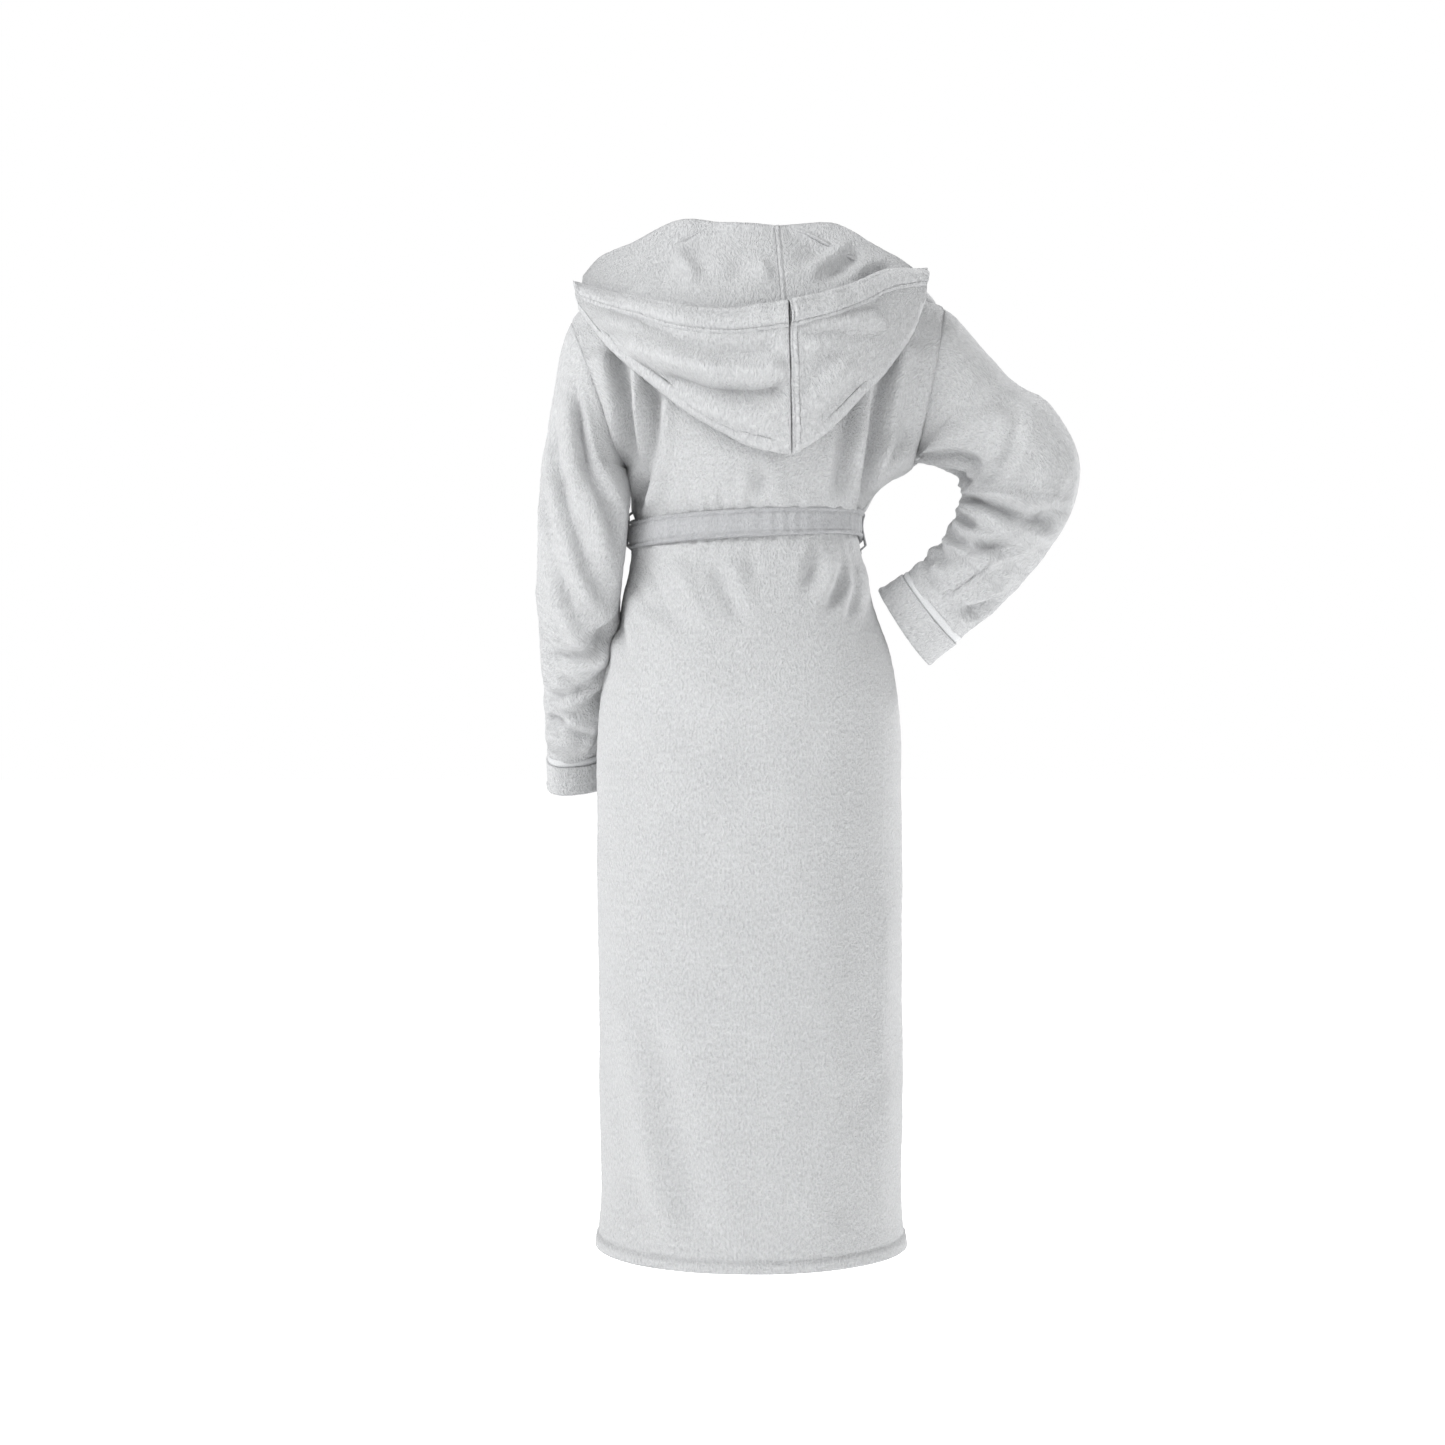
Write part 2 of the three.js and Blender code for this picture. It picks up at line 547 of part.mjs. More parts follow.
// ---- Patch pockets, open at the top, with a satin binding -----------------------------
const POCKET_WIDE = { left: 78, right: 88 };
const POCKET_FROM_TAIL = { left: 5, right: 63 };
const pocketSides = {
  left: [0, POCKET_WIDE.left].map((x) => x + tailEdges.left + BELT_WIDTH + POCKET_FROM_TAIL.left),
  right: [-POCKET_WIDE.right, 0].map((x) => x + tailEdges.right - POCKET_FROM_TAIL.right),
};
const POCKET_EDGE = 5;
const pocketBlock = bodyLayer(() => LAYER_GAP, () => POCKET_BULGE);
const pocketHollow = bodyFilled(() => POCKET_BULGE - CLOTH, 20);
const bindingLayer = bodyLayer(() => POCKET_BULGE + SEAM_GAP, () => POCKET_BULGE + SEAM_GAP + TAPE);
for (const [side, [low, high]] of Object.entries(pocketSides)) {
  const patch = box(low, -FAR, POCKET_TOP - POCKET_DEEP, high, -40, POCKET_TOP);
  const inside = box(
    low + POCKET_EDGE,
    -FAR,
    POCKET_TOP - POCKET_DEEP + POCKET_EDGE,
    high - POCKET_EDGE,
    -30,
    POCKET_TOP + 10,
  );
  addNode(`${side}_pocket`, pocketBlock.intersect(patch).subtract(pocketHollow.intersect(inside)), fleece);
  const strip = box(low + 1, -FAR, POCKET_TOP - 30, high - 1, -42, POCKET_TOP - 30 + PIPING_LENGTH);
  addNode(`${side}_pocket_piping`, bindingLayer.intersect(strip), satin);
}

// ---- Inside the back neck: tape over the seam, hanging loop and a blank label ---------
const tapeLayer = bodyLayer(() => -CLOTH - LAYER_GAP - TAPE, () => -CLOTH - LAYER_GAP);
const TAPE_WIDE = 104;
const TAPE_FOOT = -26;
const TAPE_TOP = -8;
const tapeSpace = box(-TAPE_WIDE / 2, 30, TAPE_FOOT, TAPE_WIDE / 2, FAR, TAPE_TOP);
addNode('neck_tape', tapeLayer.intersect(tapeSpace), satin);

const HANG_WIDE = 52;
const HANG_DROP = 56;
const HANG_TAPE = 8;
const HANG_THICK = 2;
const hangTop = -14;
const hangY = backReach(HANG_WIDE / 2, -20) - CLOTH - LAYER_GAP - TAPE - 4;
const hangOuter = box(
  -HANG_WIDE / 2, hangY - HANG_TAPE, hangTop - HANG_DROP, HANG_WIDE / 2, hangY, hangTop,
);
const hangInner = box(
  HANG_THICK - HANG_WIDE / 2, -FAR, hangTop - HANG_DROP + HANG_THICK,
  HANG_WIDE / 2 - HANG_THICK, FAR, FAR,
);
addNode('hang_loop', hangOuter.subtract(hangInner), satin);

const LABEL = { wide: 32, high: 48, thick: 0.8 };
const labelTop = TAPE_FOOT - SEAM_GAP;
const labelY = backReach(LABEL.wide / 2, labelTop) - CLOTH - LAYER_GAP - TAPE;
addNode('care_label', box(
  -LABEL.wide / 2, labelY - LABEL.thick, labelTop - LABEL.high, LABEL.wide / 2, labelY, labelTop,
), labelCloth);

export default robe;
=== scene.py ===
# A hooded bathrobe of thick plush fleece in the shape it has when it is worn. The wearer's
# left is +X and the back faces +Y. Lengths are in metres unless a name says millimetres.
import math

import bpy
import numpy as np
from mathutils import Matrix, Vector


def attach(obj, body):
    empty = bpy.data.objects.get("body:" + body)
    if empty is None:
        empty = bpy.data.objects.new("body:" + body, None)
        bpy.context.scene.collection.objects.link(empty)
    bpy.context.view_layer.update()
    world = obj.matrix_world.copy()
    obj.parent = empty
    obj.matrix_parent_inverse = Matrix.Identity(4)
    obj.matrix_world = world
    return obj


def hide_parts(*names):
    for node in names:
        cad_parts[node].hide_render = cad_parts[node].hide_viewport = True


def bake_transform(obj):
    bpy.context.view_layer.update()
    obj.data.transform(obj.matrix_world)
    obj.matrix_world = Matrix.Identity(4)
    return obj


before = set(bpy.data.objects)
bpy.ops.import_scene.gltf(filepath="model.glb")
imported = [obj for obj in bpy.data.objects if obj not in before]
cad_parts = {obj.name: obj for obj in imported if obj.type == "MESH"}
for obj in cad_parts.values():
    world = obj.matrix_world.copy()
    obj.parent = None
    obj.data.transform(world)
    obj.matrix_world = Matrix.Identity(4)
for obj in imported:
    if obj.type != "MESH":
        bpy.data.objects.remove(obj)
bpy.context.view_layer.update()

# ---- Camera, floor and light ------------------------------------------------------------
# A level camera behind the robe, at the height of its middle, with a short portrait lens.
# The floor is white paper, and two broad lamps above it give soft shade from the top left.
scene = bpy.context.scene
scene.view_settings.view_transform = "Standard"
NAPE_TO_SOLES = 1.465

camera = bpy.data.objects.new("camera", bpy.data.cameras.new("camera"))
scene.collection.objects.link(camera)
camera.data.sensor_width = 36
camera.data.lens = 54.2
camera.location = (0.035, 2.70, -0.603)
camera.rotation_euler = (math.radians(90), 0, math.radians(180))
scene.camera = camera


def linear(hex_colour):
    """An sRGB hex colour such as "d2d3d4" as linear red, green, blue and 1."""
    parts = np.array([int(hex_colour[i:i + 2], 16) / 255 for i in (0, 2, 4)])
    low = parts / 12.92
    high = ((parts + 0.055) / 1.055) ** 2.4
    return (*np.where(parts <= 0.04045, low, high), 1.0)


def add_node(tree, kind, links=(), **settings):
    """One shader node: inputs are set by name or number, and links are (socket, source)."""
    node = tree.nodes.new(kind)
    for key, value in settings.items():
        if key.startswith("in_"):
            name = key[3:].replace("_", " ")
            node.inputs[int(name) if name.isdigit() else name].default_value = value
        else:
            setattr(node, key, value)
    for socket, source in links:
        tree.links.new(source, node.inputs[socket])
    return node


ROOM_LIGHT = 0.46
PAPER_GLOW = 0.62
world = bpy.data.worlds.new("daylight")
world.use_nodes = True
sky = world.node_tree
sky.nodes["Background"].inputs["Color"].default_value = (1, 1, 1, 1)
# the paper sweep is pure white, but the room lights the cloth less than that
ray = add_node(sky, "ShaderNodeLightPath")
level = add_node(sky, "ShaderNodeMix", [("Factor", ray.outputs["Is Camera Ray"])],
                 in_A=ROOM_LIGHT, in_B=1.0)
sky.links.new(level.outputs["Result"], sky.nodes["Background"].inputs["Strength"])
scene.world = world

floor_mesh = bpy.data.meshes.new("paper_floor")
reach = 30
floor_mesh.from_pydata(
    [(-reach, -reach, 0), (reach, -reach, 0), (reach, reach, 0), (-reach, reach, 0)],
    [], [(0, 1, 2, 3)],
)
floor_mesh.transform(Matrix.Translation((0, 0, -NAPE_TO_SOLES)))
paper = bpy.data.materials.new("white_paper")
paper.use_nodes = True
paper.node_tree.nodes["Principled BSDF"].inputs["Base Color"].default_value = linear("ffffff")
paper.node_tree.nodes["Principled BSDF"].inputs["Roughness"].default_value = 0.9
paper.node_tree.nodes["Principled BSDF"].inputs["Emission Color"].default_value = (1, 1, 1, 1)
paper.node_tree.nodes["Principled BSDF"].inputs["Emission Strength"].default_value = PAPER_GLOW
floor_mesh.materials.append(paper)
floor = bpy.data.objects.new("paper_floor", floor_mesh)
scene.collection.objects.link(floor)

for name, place, power, size in (
    ("key_lamp", (2.3, 1.5, 1.5), 96, 1.8),
    ("front_key", (-2.0, -1.9, 1.4), 80, 0.9),
    ("fill_lamp", (-2.2, 2.4, 0.2), 22, 1.6),
):
    lamp = bpy.data.lights.new(name, "AREA")
    lamp.energy = power
    lamp.shape = "DISK"
    lamp.size = size
    holder = bpy.data.objects.new(name, lamp)
    holder.location = place
    aim = np.array([0, 0, -0.55]) - np.array(place)
    holder.rotation_euler = Vector(aim).to_track_quat("-Z", "Y").to_euler()
    scene.collection.objects.link(holder)


# ---- Plush fleece -----------------------------------------------------------------------
# Flannel fleece: a polyester knit brushed on both faces into a pile 2 to 3 mm deep. The
# pile mats into tufts a few millimetres wide, lies downwards, and glows along its edges.
FLEECE = "cacbcc"
FLEECE_SHADE = "aaabad"
TUFT_MM = 2.7
FIBRE_MM = 1.3


def fleece_material(name, colour=FLEECE, shade=FLEECE_SHADE, depth=1.0):
    material = bpy.data.materials.new(name)
    material.use_nodes = True
    tree = material.node_tree
    surface = tree.nodes["Principled BSDF"]
    surface.inputs["Roughness"].default_value = 0.95
    surface.inputs["Specular IOR Level"].default_value = 0.15
    surface.inputs["Sheen Weight"].default_value = 0.35
    surface.inputs["Sheen Roughness"].default_value = 0.5
    # the cloth's own map is in metres: stretched along the nap, so tufts lie downwards
    cloth = add_node(tree, "ShaderNodeUVMap", uv_map="cloth")
    nap = add_node(tree, "ShaderNodeMapping", [("Vector", cloth.outputs["UV"])],
                   in_Scale=(1, 0.55, 1))
    tufts = add_node(tree, "ShaderNodeTexNoise", [("Vector", nap.outputs["Vector"])],
                     in_Scale=1000 / TUFT_MM, in_Detail=2.0, in_Roughness=0.6)
    fibres = add_node(tree, "ShaderNodeTexNoise", [("Vector", nap.outputs["Vector"])],
                      in_Scale=1000 / FIBRE_MM, in_Detail=2.0, in_Roughness=0.6)
    brushed = add_node(tree, "ShaderNodeTexNoise", [("Vector", cloth.outputs["UV"])],
                       in_Scale=14.0, in_Detail=3.0, in_Roughness=0.55)
    both = add_node(tree, "ShaderNodeMix",
                    [("A", tufts.outputs["Fac"]), ("B", fibres.outputs["Fac"])],
                    in_Factor=0.35)
    patches = add_node(tree, "ShaderNodeMix",
                       [("A", both.outputs["Result"]), ("B", brushed.outputs["Fac"])],
                       in_Factor=0.10)
    # the colour follows the same noise as the bump: FLEECE_SHADE where the pile is low, FLEECE
    # where it is high. This is painted shade in the hollows between tufts, as well as the cloth's
    # own uneven tone
    ramp = add_node(tree, "ShaderNodeValToRGB", [("Fac", patches.outputs["Result"])])
    ramp.color_ramp.elements[0].position = 0.32
    ramp.color_ramp.elements[0].color = linear(shade)
    ramp.color_ramp.elements[1].position = 0.62
    ramp.color_ramp.elements[1].color = linear(colour)
    tree.links.new(ramp.outputs["Color"], surface.inputs["Base Color"])
    bump = add_node(tree, "ShaderNodeBump", [("Height", both.outputs["Result"])],
                    in_Strength=1.0 * depth, in_Distance=0.0052)
    tree.links.new(bump.outputs["Normal"], surface.inputs["Normal"])
    return material


fleece = fleece_material("plush_fleece")
# the belt, knot, tails and loops are the same plush as the body, with less bump and a darker
# colour that is painted shade
flat_fleece_painted_shade = fleece_material("pressed_fleece_painted_shade", "b4b5b7", "9a9b9e", depth=0.8)


def satin_material(name, colour, rough, scale=(900, 2600, 1)):
    """A woven ribbon: fine ribs on the cloth's own map, as a bump and a slight shade."""
    material = bpy.data.materials.new(name)
    material.use_nodes = True
    tree = material.node_tree
    surface = tree.nodes["Principled BSDF"]
    surface.inputs["Roughness"].default_value = rough
    surface.inputs["Specular IOR Level"].default_value = 0.4
    cloth = add_node(tree, "ShaderNodeUVMap", uv_map="cloth")
    ribs = add_node(tree, "ShaderNodeMapping", [("Vector", cloth.outputs["UV"])], in_Scale=scale)
    weave = add_node(tree, "ShaderNodeTexNoise", [("Vector", ribs.outputs["Vector"])],
                     in_Scale=1.0, in_Detail=2.0)
    ramp = add_node(tree, "ShaderNodeValToRGB", [("Fac", weave.outputs["Fac"])])
    ramp.color_ramp.elements[0].position = 0.35
    ramp.color_ramp.elements[0].color = linear(SATIN_SHADE)
    ramp.color_ramp.elements[1].position = 0.60
    ramp.color_ramp.elements[1].color = linear(colour)
    tree.links.new(ramp.outputs["Color"], surface.inputs["Base Color"])
    bump = add_node(tree, "ShaderNodeBump", [("Height", weave.outputs["Fac"])],
                    in_Strength=0.35, in_Distance=0.0004)
    tree.links.new(bump.outputs["Normal"], surface.inputs["Normal"])
    return material


SATIN, SATIN_SHADE, LABEL_WHITE = "cfd0d1", "aeb0b2", "f0efec"
satin = satin_material("satin_ribbon", SATIN, 0.36)

CLOTH = 0.004


def grid_object(name, points, material, closed=False, thick=CLOTH, out=1):
    """A cloth piece through a grid of points (rows, columns, 3). Its map, in metres, runs
    along each row and up each column by the distance between points; a closed grid joins
    its last column to its first. Solidify then gives it a wall, grown inwards."""
    rows, columns = points.shape[:2]
    step_u = np.linalg.norm(np.diff(points, axis=1), axis=2)
    across = np.concatenate([np.zeros((rows, 1)), np.cumsum(step_u, axis=1)], axis=1)
    across -= across[:, columns // 2][:, None]
    step_v = np.linalg.norm(np.diff(points, axis=0), axis=2).mean(axis=1)
    along = np.concatenate([[0], np.cumsum(step_v)])[:, None] * np.ones((1, columns))
    uv = np.stack([across, along], axis=2)
    index = np.arange(rows * columns).reshape(rows, columns)
    low, high = index[:-1], index[1:]
    if closed:
        a, b = low, np.roll(low, -1, axis=1)
        c, d = np.roll(high, -1, axis=1), high
    else:
        a, b, c, d = low[:, :-1], low[:, 1:], high[:, 1:], high[:, :-1]
    faces = np.stack([a, b, c, d] if out > 0 else [d, c, b, a], axis=2).reshape(-1, 4)
    mesh = bpy.data.meshes.new(f"{name}_cloth")
    mesh.vertices.add(rows * columns)
    mesh.vertices.foreach_set("co", points.reshape(-1, 3).astype(np.float32).ravel())
    mesh.loops.add(faces.size)
    mesh.loops.foreach_set("vertex_index", faces.ravel().astype(np.int32))
    mesh.polygons.add(len(faces))
    mesh.polygons.foreach_set("loop_start", (np.arange(len(faces)) * 4).astype(np.int32))
    layer = mesh.uv_layers.new(name="cloth")
    corner_uv = uv.reshape(-1, 2)[faces.ravel()]
    if closed:
        width = np.linalg.norm(points[:, 0] - points[:, -1], axis=1)[:, None]
        wrap = (faces % columns == 0) & ((faces % columns).max(axis=1) == columns - 1)[:, None]
        ends = uv[:, -1] + np.concatenate([width, 0 * width], axis=1)
        corner_uv[wrap.ravel()] = ends[(faces // columns).ravel()[wrap.ravel()]]
    layer.data.foreach_set("uv", corner_uv.astype(np.float32).ravel())
    mesh.polygons.foreach_set("use_smooth", np.ones(len(mesh.polygons), bool))
    mesh.update(calc_edges=True)
    mesh.validate()
    mesh.materials.append(material)
    piece = bpy.data.objects.new(f"{name}_cloth", mesh)
    scene.collection.objects.link(piece)
    if thick:
        wall = piece.modifiers.new("wall", "SOLIDIFY")
        wall.thickness = thick
        wall.offset = -1
        wall.use_even_offset = False
        wall.use_rim = True
    return piece


def declare(piece, node, body):
    """Cloth cut to the size of its own grid, riding on a body in place of its CAD node."""
    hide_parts(node)
    if body:
        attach(piece, body)


def through(stations, at):
    """Smooth values through rows of (place, value, value, ...): a cubic between each two
    rows, whose slope at a row is the weighted mean of the slopes on its two sides."""
    stations = np.asarray(stations, float)
    x, y = stations[:, 0], stations[:, 1:]
    gap = np.diff(x)
    slope = np.diff(y, axis=0) / gap[:, None]
    lean = np.empty_like(y)
    both_gaps = (gap[1:] + gap[:-1])[:, None]
    lean[1:-1] = (slope[:-1] * gap[1:, None] + slope[1:] * gap[:-1, None]) / both_gaps
    lean[0], lean[-1] = slope[0], slope[-1]
    at = np.clip(np.asarray(at, float), x[0], x[-1])
    i = np.clip(np.searchsorted(x, at, side="right") - 1, 0, len(x) - 2)
    h = gap[i][..., None]
    t = ((at - x[i]) / gap[i])[..., None]
    return (
        (2 * t**3 - 3 * t**2 + 1) * y[i] + (t**3 - 2 * t**2 + t) * h * lean[i]
        + (3 * t**2 - 2 * t**3) * y[i + 1] + (t**3 - t**2) * h * lean[i + 1]
    )


def bell(value, middle, width):
    """A smooth hump, 1 at its middle and e times less one width away."""
    return np.exp(-(((value - middle) / width) ** 2))


def crease(away, width):
    """The section of a fold: a bell, with half as much the other way on its two sides."""
    return bell(away, 0, width) - 0.45 * np.exp(-(((away - 1.9 * width) / (1.1 * width)) ** 2))


def bump_line(p, q, line, width, height, tail=0.03):
    """A fold along a line in a plane (p, q): a ridge (or with a negative height a valley)
    whose section is a bell of a width, and which fades out over a tail past its ends."""
    line = np.asarray(line, float)
    best = np.full(np.shape(p), 1e9)
    along = np.zeros(np.shape(p))
    run = 0.0
    total = np.linalg.norm(np.diff(line, axis=0), axis=1).sum()
    for (ax, ay), (bx, by) in zip(line[:-1], line[1:]):
        length = math.hypot(bx - ax, by - ay)
        t = np.clip(((p - ax) * (bx - ax) + (q - ay) * (by - ay)) / length**2, 0, 1)
        away = np.hypot(p - ax - t * (bx - ax), q - ay - t * (by - ay))
        near = away < best
        best = np.where(near, away, best)
        along = np.where(near, run + t * length, along)
        run += length
    fade = np.clip(np.minimum(along, total - along) / tail, 0, 1)
    fade = 0.10 + 0.90 * fade * fade * (3 - 2 * fade)
    return height * fade * crease(best, width)


def drift(p, q, scale, seed):
    """A gentle unevenness from -1 to 1: five slanting waves of unlike lengths, summed."""
    total = 0
    for k in range(5):
        angle = seed * 1.7 + k * 2.399
        length = scale * (0.6 + 0.35 * ((k * 0.618 + seed * 0.37) % 1.0) * 2)
        travel = p * np.cos(angle) + q * np.sin(angle)
        total = total + np.sin(2 * np.pi * travel / length + seed + k * 1.3)
    return total / 5


def step(value, low, high):
    """0 below low, 1 above high, and a smooth step between."""
    t = np.clip((value - low) / (high - low), 0, 1)
    return t * t * (3 - 2 * t)


# ---- Body: back panel and two fronts ----------------------------------------------------
# The back is one piece from neck to hem. The right front wraps over the left one. They are
# sewn together down the sides and over the shoulders, the hem is turned up and stitched,
# and the cloth blouses over the belt and is drawn into soft pleats below it.
MM = 0.001
HEM_Z, WAIST_Z, NECK_Z = -1.245, -0.365, -0.004
# height, half-width to the left and right, depth in front and behind, squareness, in mm
BODY = np.array([
    (-1245, 191, 192, 160, 170, 2.15), (-1225, 189, 189, 158, 168, 2.15),
    (-1100, 188, 188, 156, 165, 2.15), (-900, 188, 188, 152, 158, 2.15),
    (-720, 191, 186, 148, 152, 2.15), (-620, 189, 185, 146, 154, 2.15),
    (-560, 184, 181, 142, 156, 2.2), (-510, 174, 172, 134, 150, 2.2),
    (-455, 161, 151, 124, 134, 2.2), (-415, 151, 142, 116, 120, 2.2),
    (-385, 146, 135, 110, 109, 2.2), (-345, 144, 134, 110, 107, 2.2),
    (-318, 149, 158, 117, 117, 2.2), (-285, 153, 198, 123, 125, 2.2),
    (-240, 158, 200, 126, 131, 2.2), (-180, 166, 203, 122, 130, 2.15),
    (-130, 190, 211, 108, 123, 2.05), (-108, 216, 224, 100, 118, 2.0),
    (-98, 213, 230, 95, 115, 1.95), (-78, 194, 204, 86, 108, 1.85),
    (-55, 158, 160, 78, 98, 1.8), (-35, 116, 118, 74, 88, 1.9),
    (-18, 87, 87, 73, 78, 2.0), (-4, 78, 78, 72, 72, 2.0),
], float)
BODY[:, :5] *= MM


def body_face(turn, z):
    """The robe's face at a turn (0 at the wearer's left, 1/4 at the back) and a height: a
    squared ellipse with its own reach to the left, right, front and back."""
    left, right, front, back, square = np.moveaxis(through(BODY, z), -1, 0)
    c, s = np.cos(2 * np.pi * turn), np.sin(2 * np.pi * turn)
    x = np.sign(c) * np.abs(c) ** (2 / square) * np.where(c > 0, left, right)
    y = np.sign(s) * np.abs(s) ** (2 / square) * np.where(s > 0, back, front)
    return np.stack([x, y, z + 0 * x], axis=-1)


def normals(points, closed=False, soften=2):
    """Unit normals of a grid: the cross product of its two central differences, averaged
    with its neighbours a few times so that a crowded row can't turn it."""
    if closed:
        across = np.roll(points, -1, axis=1) - np.roll(points, 1, axis=1)
    else:
        across = np.gradient(points, axis=1)
    up = np.gradient(points, axis=0)
    n = np.cross(across, up)
    n = n / np.maximum(np.linalg.norm(n, axis=2, keepdims=True), 1e-9)
    for _ in range(soften):
        n[1:-1] = (n[:-2] + 2 * n[1:-1] + n[2:]) / 4
    return n / np.maximum(np.linalg.norm(n, axis=2, keepdims=True), 1e-9)


# Each armhole is an oval in a tilted plane. A sleeve's first rings fan out from it round
# the underarm point, so panel and sleeve share this one curve.
UNDERARM = {"left": np.array([0.152, 0.005, -0.292]), "right": np.array([-0.202, 0.008, -0.281])}
ARMHOLE = {"left": (69.0, 0.196, 0.074), "right": (78.9, 0.192, 0.072)}


def armhole_edge(side, z):
    """The armhole oval at height z: its point in front, its point behind, and how firmly it
    holds the panel there. It leans outwards by the armhole's angle above the horizontal."""
    lean, height, deep = ARMHOLE[side]
    sign = 1 if side == "left" else -1
    rise = math.sin(math.radians(lean))
    whole = (z - UNDERARM[side][2]) / rise
    along = np.clip(whole, 0, height)
    part = along / (height / 2) - 1
    # past the oval's two ends its hold on the panel dies away
    short, past = np.minimum(whole, 0), np.maximum(whole - height, 0)
    hold = np.exp(-((short / 0.010) ** 2) - (past / 0.012) ** 2)
    half = deep * np.sqrt(np.clip(1 - part**2, 0, 1))
    x = UNDERARM[side][0] + sign * along * math.cos(math.radians(lean))
    y = UNDERARM[side][1]
    return (np.stack([x, y - half, z], -1), np.stack([x, y + half, z], -1), hold)


def armhole_turn(edge, heights, depth_column):
    """How far past the side, as a turn, the armhole's edge lies on the body's face."""
    body = through(BODY, heights)
    share = np.clip(np.abs(edge[:, 1]) / body[:, depth_column], 0, 0.94)
    return np.arcsin(share ** (body[:, 4] / 2)) / (2 * np.pi)


def evened(values, passes=60):
    """The same values with every row averaged with its neighbours, again and again."""
    values = values.copy()
    for _ in range(passes):
        values[1:-1] = (values[:-2] + 2 * values[1:-1] + values[2:]) / 4
    return values


def side_line(edge, hold, turn, heights):
    """A panel's side edge: the armhole where that holds it, the side seam elsewhere."""
    seam = body_face(turn + 0 * heights, heights)
    return seam + (edge - seam) * hold[:, None]


def pull_to(points, column, edge):
    """Moves one edge column onto the armhole, and the cloth beside it less and less: first
    a wide pull, evened out up and down, then a short one that meets the edge exactly."""
    for reach, power, passes in ((0.12, 2.0, 260), (0.045, 1.6, 0)):
        missing = edge - points[:, column]
        run = np.linalg.norm(points - points[:, column][:, None], axis=2)
        shift = missing[:, None, :] * (np.clip(1 - run / reach, 0, 1) ** power)[..., None]
        points = points + evened(shift, passes)
    return points


def slacken(points, u):
    """Cloth hanging from arm to belt evens out its depth up and down, away from its edges."""
    depth = evened(points[..., 1], 70)
    near = bell(points[..., 2], -0.290, 0.055)
    share = near * (1 - np.exp(-((np.minimum(u, 1 - u) / 0.07) ** 2)))
    points[..., 1] += (depth - points[..., 1]) * share
    return points


def back_rows(columns, heights):
    """Rows of the back from the left side seam to the right one, cut by both armholes."""
    _, left, left_hold = armhole_edge("left", heights)
    _, right, right_hold = armhole_edge("right", heights)
    starts = evened(armhole_turn(left, heights, 3) * left_hold)
    ends = evened(0.5 - armhole_turn(right, heights, 3) * right_hold)
    u = np.linspace(0, 1, columns)[None, :]
    turn = starts[:, None] + (ends - starts)[:, None] * u
    points = slacken(body_face(turn, heights[:, None] + 0 * u), u)
    points = pull_to(points, 0, side_line(left, left_hold, 0.0, heights))
    return pull_to(points, -1, side_line(right, right_hold, 0.5, heights))


def tuft(points, depth=0.0004):
    """The pile's own unevenness on the mesh: short waves in three directions."""
    x, y, z = np.moveaxis(points, -1, 0) / 0.011
    return depth * (
        np.sin(5.1 * x + 1.7 * np.sin(3.3 * z)) + np.sin(4.3 * y - 2.1 * np.sin(2.9 * x))
        + np.sin(4.7 * z + 1.9 * np.sin(3.7 * y))
    ) / 3


